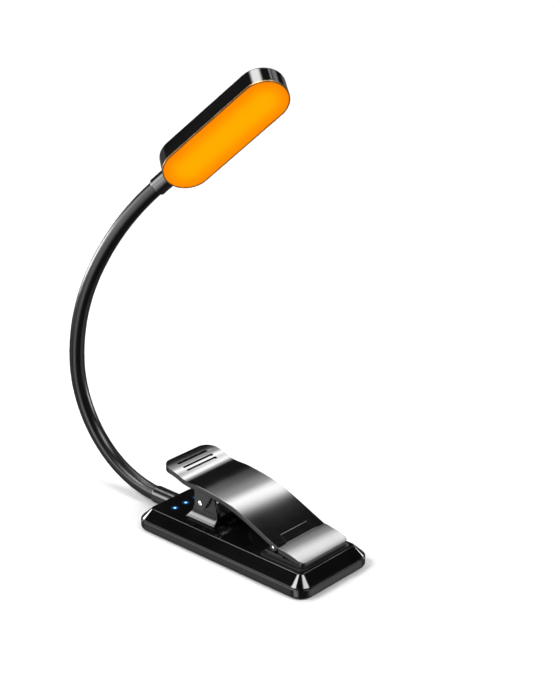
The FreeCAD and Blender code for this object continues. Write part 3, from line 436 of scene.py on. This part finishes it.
FINISHES = {
    "shell_black": shell_black(),
    "grip_rubber": rubber("grip_rubber", grey(0.003), grey(0.005), specular=0.25),
    "battery_foil": metal("battery_foil", grey(0.55), grey(0.7), (0.3, 0.45), 900.0, 8e-6),
    "circuit_board": gloss_plastic("circuit_board", (0.004, 0.05, 0.02), (0.008, 0.09, 0.035), (0.3, 0.45)),
    "plated_steel": metal("plated_steel", grey(0.6), grey(0.75)),
    "switch_black": gloss_plastic("switch_black", grey(0.02), grey(0.03), (0.35, 0.5)),
    "button_black": gloss_plastic("button_black", grey(0.003), grey(0.005), (0.3, 0.42), specular=0.35),
    "led_white": gloss_plastic("led_white", (0.8, 0.78, 0.6), (0.9, 0.88, 0.7), (0.3, 0.4)),
    "indicator_blue": indicator_blue(),
    "screw_steel": metal("screw_steel", grey(0.35), grey(0.5), (0.25, 0.4)),
    "clip_black": gloss_plastic("clip_black", grey(0.001), grey(0.002), (0.12, 0.18), specular=0.42),
    "lever_gunmetal": gloss_plastic("lever_gunmetal", grey(0.001), grey(0.002), (0.085, 0.105), 900.0, 2e-7),
    "spring_steel": metal("spring_steel", grey(0.4), grey(0.55), (0.2, 0.3)),
    "collar_black": gloss_plastic("collar_black", grey(0.0015), grey(0.0025), (0.12, 0.18), specular=0.35),
    "neck_rubber": rubber("neck_rubber", grey(0.0008), grey(0.0014), (0.26, 0.33), specular=0.2),
    "core_steel": metal("core_steel", grey(0.3), grey(0.4), (0.35, 0.5)),
    "head_black": gloss_plastic("head_black", grey(0.0015), grey(0.0025), (0.05, 0.09), specular=0.32),
    "trim_gold": metal("trim_gold", (0.22, 0.14, 0.06), (0.28, 0.18, 0.08), (0.3, 0.4)),
    "diffuser_amber": diffuser_amber(),
    "led_board_white": gloss_plastic("led_board_white", grey(0.7), grey(0.8), (0.3, 0.4)),
}
SLOT_OF = {part["node"]: part["material_slot"] for part in frame["record"]["subparts"]}
PIN_STEEL = metal("pin_steel", grey(0.7), grey(0.8), (0.12, 0.2))
JAW_BLACK = gloss_plastic("jaw_black", grey(0.001), grey(0.002), (0.09, 0.12), specular=0.4)


# ---------------------------------------------------------------- mesh helpers
SHARP_ANGLE = math.radians(38)


def make_piece(name, bm, slot, body=None, stands_for=(), material=None):
    """Turn a bmesh into a named piece with its finish, sharp edges where faces turn hard."""
    bmesh.ops.recalc_face_normals(bm, faces=bm.faces)
    for face in bm.faces:
        face.smooth = True
    for edge in bm.edges:
        edge.smooth = len(edge.link_faces) == 2 and edge.calc_face_angle() < SHARP_ANGLE
    mesh = bpy.data.meshes.new(name)
    bm.to_mesh(mesh)
    bm.free()
    piece = bpy.data.objects.new(name, mesh)
    bpy.context.scene.collection.objects.link(piece)
    paint(piece, material or FINISHES[slot])
    if body:
        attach(piece, body)
    if stands_for:
        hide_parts(*stands_for)
    return piece


def keep_flats_flat(piece):
    """Let the large faces lead the shading, so that narrow rounded edges don't bend it."""
    modifier = piece.modifiers.new("flats", "WEIGHTED_NORMAL")
    modifier.keep_sharp = True
    modifier.weight = 100


def prism(bm, outline, place, height_axis, start, end):
    """A closed prism: an outline of 2-D points, put into space by place(u, v), run along one axis."""
    first = [bm.verts.new(place(u, v) + height_axis * start) for u, v in outline]
    second = [bm.verts.new(place(u, v) + height_axis * end) for u, v in outline]
    faces = [bm.faces.new(first), bm.faces.new(list(reversed(second)))]
    for i in range(len(outline)):
        j = (i + 1) % len(outline)
        faces.append(bm.faces.new((first[j], first[i], second[i], second[j])))
    return faces


def upright(u, v):
    return Vector((u, 0, v))


def flat(u, v):
    return Vector((u, v, 0))


def arc(centre_u, centre_v, radius, start, end, steps):
    """Points of a circular arc, angles in degrees, both ends included."""
    points = []
    for i in range(steps + 1):
        angle = math.radians(start + (end - start) * i / steps)
        points.append((centre_u + radius * math.cos(angle), centre_v + radius * math.sin(angle)))
    return points


def soften(bm, edges, width, segments=3):
    bmesh.ops.bevel(bm, geom=edges, offset=width, segments=segments, profile=0.5, affect="EDGES",
                    clamp_overlap=True)


def hard_edges(bm, lowest=math.radians(50)):
    return [e for e in bm.edges if len(e.link_faces) == 2 and e.calc_face_angle() > lowest]


def slice_across(bm, stations, direction):
    """Cut every face along planes square to a direction, so that it can be bent there."""
    for station in stations:
        geometry = bm.verts[:] + bm.edges[:] + bm.faces[:]
        bmesh.ops.bisect_plane(bm, geom=geometry, plane_co=direction * station, plane_no=direction, dist=1e-8)


def carve(bm, tools):
    """Subtract closed tool meshes (bmeshes) from a closed mesh, and give the result back."""
    meshes = []
    for source in (bm, *tools):
        bmesh.ops.recalc_face_normals(source, faces=source.faces)
        mesh = bpy.data.meshes.new("carve")
        source.to_mesh(mesh)
        source.free()
        meshes.append(mesh)
    target, *cutters = [bpy.data.objects.new("carve", mesh) for mesh in meshes]
    for thing in (target, *cutters):
        bpy.context.scene.collection.objects.link(thing)
    for cutter in cutters:
        modifier = target.modifiers.new("cut", "BOOLEAN")
        modifier.operation = "DIFFERENCE"
        modifier.solver = "EXACT"
        modifier.object = cutter
    depsgraph = bpy.context.evaluated_depsgraph_get()
    result = bmesh.new()
    result.from_mesh(target.evaluated_get(depsgraph).to_mesh())
    for thing, mesh in zip((target, *cutters), meshes):
        bpy.data.objects.remove(thing)
        bpy.data.meshes.remove(mesh)
    return result


SPLINE_SAMPLES = 600


def spline_through(points):
    """A natural cubic spline through 2-D points.

    Gives a function from the length along it to (point, unit tangent), its whole length,
    points along it and their lengths.
    """
    points = np.array(points, float)
    knots = np.r_[0, np.cumsum(np.linalg.norm(np.diff(points, axis=0), axis=1))]
    gap = np.diff(knots)
    count = len(points)
    system, right = np.eye(count), np.zeros((count, 2))
    for i in range(1, count - 1):
        system[i, i - 1:i + 2] = gap[i - 1], 2 * (gap[i - 1] + gap[i]), gap[i]
        right[i] = 6 * ((points[i + 1] - points[i]) / gap[i] - (points[i] - points[i - 1]) / gap[i - 1])
    bend = np.linalg.solve(system, right)

    def at(knot):
        i = min(int(np.searchsorted(knots, knot, side="right")) - 1, count - 2)
        h, a, b = gap[i], knots[i + 1] - knot, knot - knots[i]
        slope = (points[i + 1] - points[i]) / h - h * (bend[i + 1] - bend[i]) / 6
        place = (bend[i] * a ** 3 + bend[i + 1] * b ** 3) / (6 * h) + (
            (points[i] / h - bend[i] * h / 6) * a + (points[i + 1] / h - bend[i + 1] * h / 6) * b)
        direction = (bend[i + 1] * b ** 2 - bend[i] * a ** 2) / (2 * h) + slope
        return place, direction / np.linalg.norm(direction)

    fine = np.linspace(0, knots[-1], SPLINE_SAMPLES)
    places = np.array([at(k)[0] for k in fine])
    lengths = np.r_[0, np.cumsum(np.linalg.norm(np.diff(places, axis=0), axis=1))]
    return (lambda length: at(float(np.interp(length, lengths, fine)))), lengths[-1], places, lengths


# ---------------------------------------------------------------- neck
def bow(start, heading, end, steps):
    """Points and tangents of the circular arc that leaves start along heading and reaches end."""
    chord = end - start
    direction = chord.normalized()
    half = heading.angle(direction)
    if half < 1e-5:
        return [(start + chord * i / steps, heading) for i in range(steps + 1)]
    inward = (direction - heading * math.cos(half)).normalized()
    radius = chord.length / (2 * math.sin(half))
    frames = []
    for i in range(steps + 1):
        turn = 2 * half * i / steps
        place = start + (heading * math.sin(turn) + inward * (1 - math.cos(turn))) * radius
        frames.append((place, heading * math.cos(turn) + inward * math.sin(turn)))
    return frames


ARC_STEPS = 20
TUBE_SIDES = 48
NECK_STUB = 3.9 * MM    # how far the rubber goes into the ferrule at each end


def neck_line():
    """The neck's eight arcs from the base's ferrule to the head, each a list of (point, tangent)."""
    low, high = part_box("base_collar")
    point = Vector((low.x, (low.y + high.y) / 2, (low.z + high.z) / 2))
    heading = Vector((-1, 0, 0))
    arcs = []
    for name in [f"neck_bend_{i}" for i in range(1, 8)] + ["head_twist"]:
        arcs.append(bow(point, heading, Vector(JOINTS[name]["pos_m"]), ARC_STEPS))
        point, heading = arcs[-1][-1]
    return arcs


def tube(bm, frames, radius, side, sides=TUBE_SIDES):
    """A capped round tube along frames; side is a first sideways direction, carried along."""
    rings = []
    heading = frames[0][1]
    for place, tangent in frames:
        side = heading.rotation_difference(tangent) @ side
        heading = tangent
        other = tangent.cross(side)
        ring = []
        for i in range(sides):
            angle = 2 * math.pi * i / sides
            ring.append(bm.verts.new(place + (side * math.cos(angle) + other * math.sin(angle)) * radius))
        rings.append(ring)
    for ring, following in zip(rings, rings[1:]):
        for i in range(sides):
            j = (i + 1) % sides
            bm.faces.new((ring[i], ring[j], following[j], following[i]))
    bm.faces.new(list(reversed(rings[0])))
    bm.faces.new(rings[-1])
    return side


def neck_skin():
    """The rubber cover in lengths that each run across one joint, from mid-arc to mid-arc."""
    arcs = neck_line()
    low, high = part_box("neck_sleeve_1")
    radius = (high.y - low.y) / 2
    half = ARC_STEPS // 2
    side = ACROSS
    root = arcs[0][0]
    bm = bmesh.new()
    side = tube(bm, [(root[0] - root[1] * NECK_STUB, root[1])] + arcs[0][:half + 1], radius, side)
    make_piece("neck_cover_root", bm, "neck_rubber", "base")
    for number in range(7):
        frames = arcs[number][half:] + arcs[number + 1][1:half + 1]
        bm = bmesh.new()
        side = tube(bm, frames, radius, side)
        stands_for = [f"neck_sleeve_{number + 1}"] + (["neck_sleeve_8"] if number == 6 else [])
        piece = make_piece(f"neck_cover_{number + 1}", bm, "neck_rubber", stands_for=stands_for)
        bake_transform(piece)
    tip = arcs[-1][-1]
    bm = bmesh.new()
    tube(bm, arcs[-1][half:] + [(tip[0] + tip[1] * NECK_STUB, tip[1])], radius, side)
    make_piece("neck_cover_tip", bm, "neck_rubber", "neck_8")


# ---------------------------------------------------------------- the clip's lever and jaw
# The lever's top line from its thumb tab to the jaw's hinge: x and z, in millimetres.
LEVER_TOP = [(-32.5, 25.5), (-29.9, 25.33), (-27.3, 25.0), (-24.7, 24.45), (-21.9, 23.52),
             (-19.5, 22.99), (-14.0, 22.96), (-9.0, 22.62), (1.0, 21.1), (12.0, 17.35), (23.5, 12.6)]
LEVER_HALF_WIDTH = 12.0
LEVER_THICKNESS = 1.9
TAB_CORNER = 5.0
TONGUE_HALF_WIDTH = 6.8
HINGE_GAP = 0.18
SLOT_REAR = 19.6
GRIP_PLACES = (-28.3, -25.4, -23.5)
GRIP_HALF_LENGTH = 7.4
GRIP_WIDTH = 1.1
GRIP_DEPTH = 0.5
LEVER_EDGE = 0.32
LIP_EDGE = 0.12
LEVER_SLICES = 130
EAR_LOBE = 2.5
EAR_OUTSIDE = 10.2
EAR_INSIDE = 9.15
EAR_FRONT_ANGLE = -25
EAR_EDGE = 0.16
KNUCKLE_RADIUS = 1.3
KNUCKLE_EDGE = 0.15
INSET = 0.05    # what is joined to a plate stops this far inside its sides


def across_the_lever(vertex_height, vertex_y, place, tangent):
    """A point of the bent plate: height is measured out from the top line, in its normal."""
    x = place[0] - tangent[1] * vertex_height
    z = place[1] + tangent[0] * vertex_height
    return Vector((x, vertex_y, z)) * MM


def groove_tool(middle):
    tool = bmesh.new()
    half, end = GRIP_WIDTH / 2, GRIP_HALF_LENGTH - GRIP_WIDTH / 2
    outline = [(middle + u, v) for u, v in arc(0, end, half, 0, 180, 8) + arc(0, -end, half, 180, 360, 8)]
    prism(tool, outline, flat, UP, -GRIP_DEPTH, 1.0)
    return tool


def level_edges(bm):
    """The edges that lie in a flat plate's top and bottom faces."""
    return [e for e in bm.edges if abs(e.verts[0].co.z - e.verts[1].co.z) < 1e-6]


def groove_lips(bm):
    """The sharp edges round the mouths of the grip grooves."""
    return [e for e in bm.edges if len(e.link_faces) == 2 and e.calc_face_angle() > 1.2
            and all(abs(v.co.z) < 1e-5 and abs(v.co.y) < GRIP_HALF_LENGTH + 0.01 for v in e.verts)]


def lever():
    """A springy plate bent along one smooth line, with ears for the pivot and knuckles for the jaw."""
    at_length, length, places, lengths = spline_through(LEVER_TOP)

    def length_at(x):
        return float(np.interp(x, places[:, 0], lengths))

    side, corner = LEVER_HALF_WIDTH, TAB_CORNER
    slot_at, slot_half = length_at(SLOT_REAR), TONGUE_HALF_WIDTH + HINGE_GAP
    outline = (arc(corner, -side + corner, corner, 180, 270, 14) + [
        (length, -side), (length, -slot_half), (slot_at, -slot_half), (slot_at, slot_half),
        (length, slot_half), (length, side)] + arc(corner, side - corner, corner, 90, 180, 14))
    bm = bmesh.new()
    prism(bm, outline, flat, UP, -LEVER_THICKNESS, 0.0)
    soften(bm, level_edges(bm), LEVER_EDGE)
    bm = carve(bm, [groove_tool(length_at(x)) for x in GRIP_PLACES])
    soften(bm, groove_lips(bm), LIP_EDGE, 2)
    slice_across(bm, np.linspace(0, length, LEVER_SLICES)[1:-1], ALONG)
    for vertex in bm.verts:
        place, tangent = at_length(vertex.co.x)
        vertex.co = across_the_lever(vertex.co.z, vertex.co.y, place, tangent)
    add_ears(bm)
    add_knuckles(bm)
    keep_flats_flat(make_piece("lever_plate", bm, "lever_gunmetal", "lever", ["clip_lever"]))


def add_scaled(bm, part):
    """Add a bmesh in millimetres to one in metres."""
    for vertex in part.verts:
        vertex.co *= MM
    mesh = bpy.data.meshes.new("part")
    part.to_mesh(mesh)
    part.free()
    bm.from_mesh(mesh)
    bpy.data.meshes.remove(mesh)


def joined_part(bm, outline, place, axis, start, end, edge, segments=2):
    """A prism with rounded edges, in millimetres, added to a mesh in metres."""
    part = bmesh.new()
    prism(part, outline, place, axis, start, end)
    soften(part, hard_edges(part), edge, segments)
    add_scaled(bm, part)


def add_ears(bm):
    """The two lobes that hang under the plate and turn on the pivot pin."""
    pin = Vector(JOINTS["clip_open"]["pos_m"]) / MM
    bottom = arc(pin.x, pin.z, EAR_LOBE, -180, EAR_FRONT_ANGLE, 22)
    outline = bottom + [(-9.2, 19.8), (-8.6, 21.8), (pin.x - EAR_LOBE, 21.9)]
    for sign in (1, -1):
        joined_part(bm, outline, upright, ACROSS, sign * EAR_INSIDE, sign * EAR_OUTSIDE, EAR_EDGE)


def add_knuckles(bm):
    """The two barrels at the lever's front corners that hold the jaw's pin."""
    pin = Vector(JOINTS["jaw_swivel"]["pos_m"]) / MM
    outline = arc(pin.x, pin.z, KNUCKLE_RADIUS, 0, 352.5, 47)
    for sign in (1, -1):
        joined_part(bm, outline, upright, ACROSS, sign * (TONGUE_HALF_WIDTH + HINGE_GAP),
                    sign * (LEVER_HALF_WIDTH - INSET), KNUCKLE_EDGE)


JAW_FRONT = 34.7
JAW_TOP_FRONT = 10.25
JAW_BOTTOM = 9.3
JAW_ARM_END = 23.5 + HINGE_GAP
JAW_CORNER = 1.8
JAW_REAR = 17.6
JAW_REAR_SLOPE = -0.085
JAW_EDGE = 0.22
JAW_SLICES = 60
JAW_SKIN = 0.3          # the rounded top edge, which keeps its own thickness
JAW_DEPTH = 2.3         # the plate's thickness where there is room for it
LEAF_THICKNESS = 0.7    # the thin leaf under it that the pad is stuck to
LEAF_LAP = 2.0
LEAF_EDGE = 0.15


def jaw():
    """The plate that carries the upper pad: it goes on from the lever, and its tongue fills the slot."""
    _, _, places, _ = spline_through(LEVER_TOP)
    hinge, hinge_height = places[-1]
    slot_height = float(np.interp(SLOT_REAR, places[:, 0], places[:, 1]))
    tongue_slope = (hinge_height - slot_height) / (hinge - SLOT_REAR)
    run = JAW_FRONT - hinge
    crown = (JAW_TOP_FRONT - hinge_height - JAW_REAR_SLOPE * run) / run ** 2

    def top(x):
        """In line with the lever up to the hinge, then a crowned line down to the front edge."""
        past = x - hinge
        if past <= 0:
            return hinge_height + tongue_slope * past
        return hinge_height + JAW_REAR_SLOPE * past + crown * past ** 2

    side, corner = LEVER_HALF_WIDTH, JAW_CORNER
    tongue, rear = TONGUE_HALF_WIDTH, SLOT_REAR + HINGE_GAP
    outline = ([(rear, -tongue), (JAW_ARM_END, -tongue), (JAW_ARM_END, -side)]
               + arc(JAW_FRONT - corner, -side + corner, corner, 270, 360, 8)
               + arc(JAW_FRONT - corner, side - corner, corner, 0, 90, 8)
               + [(JAW_ARM_END, side), (JAW_ARM_END, tongue), (rear, tongue)])
    bm = bmesh.new()
    prism(bm, outline, flat, UP, -1.0, 0.0)
    soften(bm, level_edges(bm), JAW_EDGE)
    slice_across(bm, [hinge, *np.linspace(rear, JAW_FRONT, JAW_SLICES)[1:-1]], ALONG)
    for vertex in bm.verts:
        x, y, depth = vertex.co
        if depth < -JAW_SKIN:
            depth *= min(top(x) - JAW_BOTTOM - 0.02, JAW_DEPTH)
        vertex.co = Vector((x, y, top(x) + depth)) * MM
    leaf_front, leaf_top = JAW_ARM_END + LEAF_LAP, JAW_BOTTOM + LEAF_THICKNESS
    leaf = [(JAW_REAR, JAW_BOTTOM), (leaf_front, JAW_BOTTOM), (leaf_front, leaf_top),
            (JAW_REAR + 0.3, leaf_top)]
    joined_part(bm, leaf, upright, ACROSS, -side + INSET, side - INSET, LEAF_EDGE)
    keep_flats_flat(make_piece("jaw_cover", bm, "lever_gunmetal", "jaw", ["jaw_plate"], JAW_BLACK))


# ---------------------------------------------------------------- the bracket and the pins
BRACKET_FOOT = 10.25
BRACKET_EAR = 8.9
BRACKET_INSIDE = 7.8
BRACKET_TOP = 19.75
BRACKET_FLOOR = 1.6
BRACKET_EDGE = 0.22
BRACKET_ROWS = 60
BRACKET_COLUMNS = 10
ABOVE_DECK = 0.02
FLARE_START, FLARE_MIDDLE, FLARE_END = 0.8, 2.4, 5.0    # heights above the deck
STRAIGHT_FROM = 16.5    # above this height the ear's rear side is a straight line
REAR_LEAN = 0.12


def circle_through(first, middle, last):
    """Centre and radius of the circle through three 2-D points."""
    (ax, ay), (bx, by), (cx, cy) = first, middle, last
    d = 2 * (ax * (by - cy) + bx * (cy - ay) + cx * (ay - by))
    a, b, c = ax ** 2 + ay ** 2, bx ** 2 + by ** 2, cx ** 2 + cy ** 2
    ux = (a * (by - cy) + b * (cy - ay) + c * (ay - by)) / d
    uy = (a * (cx - bx) + b * (ax - cx) + c * (bx - ax)) / d
    return ux, uy, math.hypot(ax - ux, ay - uy)


def on_circle(circle, height, near):
    """The circle's u at a height v, on the side of its centre where the value near lies."""
    u, v, radius = circle
    side = -1 if u > near else 1
    return u + side * math.sqrt(max(radius ** 2 - (height - v) ** 2, 0))


def ear_shell(rear, front, walls, heights, sign):
    """One ear of the bracket in millimetres: an outer and an inner wall, closed all round."""
    ear = bmesh.new()
    columns = BRACKET_COLUMNS
    grids = []
    for wall in walls:
        grids.append([[ear.verts.new((rear(z) + (front(z) - rear(z)) * i / columns, sign * wall(z), z))
                       for i in range(columns + 1)] for z in heights])
    for grid in grids:
        for row, above in zip(grid, grid[1:]):
            for i in range(columns):
                ear.faces.new((row[i], row[i + 1], above[i + 1], above[i]))
    outer, inner = grids
    for i in (0, columns):
        for j in range(len(heights) - 1):
            ear.faces.new((outer[j][i], outer[j + 1][i], inner[j + 1][i], inner[j][i]))
    for j in (0, len(heights) - 1):
        for i in range(columns):
            ear.faces.new((outer[j][i], outer[j][i + 1], inner[j][i + 1], inner[j][i]))
    bmesh.ops.recalc_face_normals(ear, faces=ear.faces)
    return ear


def bracket():
    """Two flared ears that stand on the deck either side of the spring, joined by a floor."""
    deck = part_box("base_cover")[1].z / MM
    flare_start, flare_middle, flare_end = deck + FLARE_START, deck + FLARE_MIDDLE, deck + FLARE_END
    rear_arc = circle_through((-22.1, deck), (-19.5, 11.5), (-18.2, STRAIGHT_FROM))
    front_arc = circle_through((-10.0, BRACKET_TOP), (-8.2, 14.0), (-8.0, deck))
    flare_arc = circle_through((BRACKET_FOOT, flare_start), (BRACKET_EAR + 0.35, flare_middle),
                               (BRACKET_EAR, flare_end))

    def rear(z):
        return on_circle(rear_arc, min(z, STRAIGHT_FROM), -20) + max(z - STRAIGHT_FROM, 0) * REAR_LEAN

    def front(z):
        return on_circle(front_arc, z, -9)

    def outside(z):
        if z <= flare_start:
            return BRACKET_FOOT
        if z >= flare_end:
            return BRACKET_EAR
        return on_circle(flare_arc, z, BRACKET_EAR)

    def inside(z):
        return BRACKET_INSIDE

    bottom = deck + ABOVE_DECK
    heights = [bottom + (BRACKET_TOP - deck - ABOVE_DECK) * i / BRACKET_ROWS for i in range(BRACKET_ROWS + 1)]
    bm = bmesh.new()
    for sign in (1, -1):
        ear = ear_shell(rear, front, (outside, inside), heights, sign)
        soften(ear, hard_edges(ear), BRACKET_EDGE)
        add_scaled(bm, ear)
    floor_top = deck + BRACKET_FLOOR
    floor = [(-21.3, bottom), (-10.25, bottom), (-10.25, floor_top), (-20.6, floor_top)]
    joined_part(bm, floor, upright, ACROSS, -BRACKET_INSIDE - 0.1, BRACKET_INSIDE + 0.1, 0.2)
    keep_flats_flat(make_piece("bracket_cover", bm, "clip_black", "base", ["clip_bracket"]))


DOME_STEPS = 8
PIN_SIDES = 32


def riveted_pin(name, joint, radius, half_length, dome, body, node):
    """A pin whose ends are spread into low domes."""
    centre = Vector(JOINTS[joint]["pos_m"])
    end = []
    for i in range(DOME_STEPS + 1):
        angle = math.radians(90 * i / DOME_STEPS)
        end.append((radius * math.sin(angle), half_length - dome + dome * math.cos(angle)))
    profile = end + [(reach, -y) for reach, y in reversed(end)]
    bm = bmesh.new()
    rings = []
    for reach, y in profile:
        if reach == 0.0:
            rings.append([bm.verts.new(centre + Vector((0, y, 0)) * MM)])
            continue
        turns = [2 * math.pi * i / PIN_SIDES for i in range(PIN_SIDES)]
        rings.append([bm.verts.new(centre + Vector((reach * math.cos(t), y, reach * math.sin(t))) * MM)
                      for t in turns])
    for ring, following in zip(rings, rings[1:]):
        for i in range(PIN_SIDES):
            j = (i + 1) % PIN_SIDES
            corners = [ring[i % len(ring)], ring[j % len(ring)], following[j % len(following)],
                       following[i % len(following)]]
            bm.faces.new(list(dict.fromkeys(corners)))
    make_piece(name, bm, "plated_steel", body, [node], PIN_STEEL)


# ---------------------------------------------------------------- the spring
SPRING_RADIUS = 2.6
SPRING_WIRE = 0.4
SPRING_PITCH = 1.0
SPRING_TURNS = 6
FLOOR_LEG, LEVER_LEG = 126.9, 150.0
FLOOR_LEG_LENGTH, LEVER_LEG_LENGTH = 5.4, 7.0
TURN_STEPS = 40
WIRE_SIDES = 16


def spring():
    """The coil round the pivot pin: one leg rests on the bracket, the other on the lever."""
    pin = Vector(JOINTS["clip_open"]["pos_m"]) / MM
    sweep = math.radians(360 * SPRING_TURNS + LEVER_LEG - FLOOR_LEG)
    half = SPRING_PITCH * sweep / (4 * math.pi)
    steps = round(TURN_STEPS * sweep / (2 * math.pi))
    frames = []
    for i in range(steps + 1):
        angle = math.radians(FLOOR_LEG) + sweep * i / steps
        place = pin + Vector((SPRING_RADIUS * math.cos(angle), half * (2 * i / steps - 1),
                              -SPRING_RADIUS * math.sin(angle)))
        along = Vector((-SPRING_RADIUS * math.sin(angle), SPRING_PITCH / (2 * math.pi),
                        -SPRING_RADIUS * math.cos(angle))).normalized()
        frames.append((place * MM, along))
    first, last = frames[0], frames[-1]
    frames.insert(0, (first[0] - first[1] * FLOOR_LEG_LENGTH * MM, first[1]))
    frames.append((last[0] + last[1] * LEVER_LEG_LENGTH * MM, last[1]))
    bm = bmesh.new()
    tube(bm, frames, SPRING_WIRE * MM, ACROSS, WIRE_SIDES)
    piece = make_piece("spring_coil", bm, "spring_steel", None, ["torsion_spring"])
    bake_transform(piece)


# ---------------------------------------------------------------- pads
PAD_CORNER = 1.6
PAD_EDGE = 0.12
RIB_END_MARGIN = 1.2
RIB_SIDE_MARGIN = 1.3
RIB_HALF_SHARE = 0.3    # of the step from one rib to the next
RIB_SINK = 0.1
RIB_EDGE = 0.08


def ribbed_pad(name, node, body, ribs, rib_height, up):
    """A rubber pad with rounded edges and low ribs across it on its gripping face."""
    low, high = (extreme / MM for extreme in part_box(node))
    outline = []
    for sx, sy, start in ((1, 1, 0), (-1, 1, 90), (-1, -1, 180), (1, -1, 270)):
        centre_x = (high.x if sx > 0 else low.x) - sx * PAD_CORNER
        centre_y = (high.y if sy > 0 else low.y) - sy * PAD_CORNER
        outline += arc(centre_x, centre_y, PAD_CORNER, start, start + 90, 8)
    bm = bmesh.new()
    if up:
        levels = (low.z, high.z - rib_height)
    else:
        levels = (low.z + rib_height, high.z)
    joined_part(bm, outline, flat, UP, *levels, PAD_EDGE)
    step = (high.x - low.x - 2 * RIB_END_MARGIN) / ribs
    half, near, far = RIB_HALF_SHARE * step, low.y + RIB_SIDE_MARGIN, high.y - RIB_SIDE_MARGIN
    base, tip = (levels[1] - RIB_SINK, high.z) if up else (levels[0] + RIB_SINK, low.z)
    for i in range(ribs):
        middle = low.x + RIB_END_MARGIN + step * (i + 0.5)
        rib = [(middle - half, far), (middle - half, near), (middle + half, near), (middle + half, far)]
        joined_part(bm, rib, flat, UP, base, tip, RIB_EDGE, 1)
    make_piece(name, bm, "grip_rubber", body, [node])


# ---------------------------------------------------------------- build
add_camera()
add_floor()
add_world()
add_rim_lights()
for node in nodes.values():
    paint(node, FINISHES[SLOT_OF[node.name]])
neck_skin()
lever()
jaw()
bracket()
riveted_pin("pivot_rivet", "clip_open", 1.0, 10.5, 0.45, "base", "pivot_pin")
riveted_pin("jaw_rivet", "jaw_swivel", 0.6, 12.1, 0.3, "lever", "jaw_pin")
spring()
ribbed_pad("jaw_pad_ribbed", "jaw_pad", "jaw", 9, 0.2, up=False)
ribbed_pad("lower_pad_ribbed", "lower_grip_pad", "base", 10, 0.12, up=True)
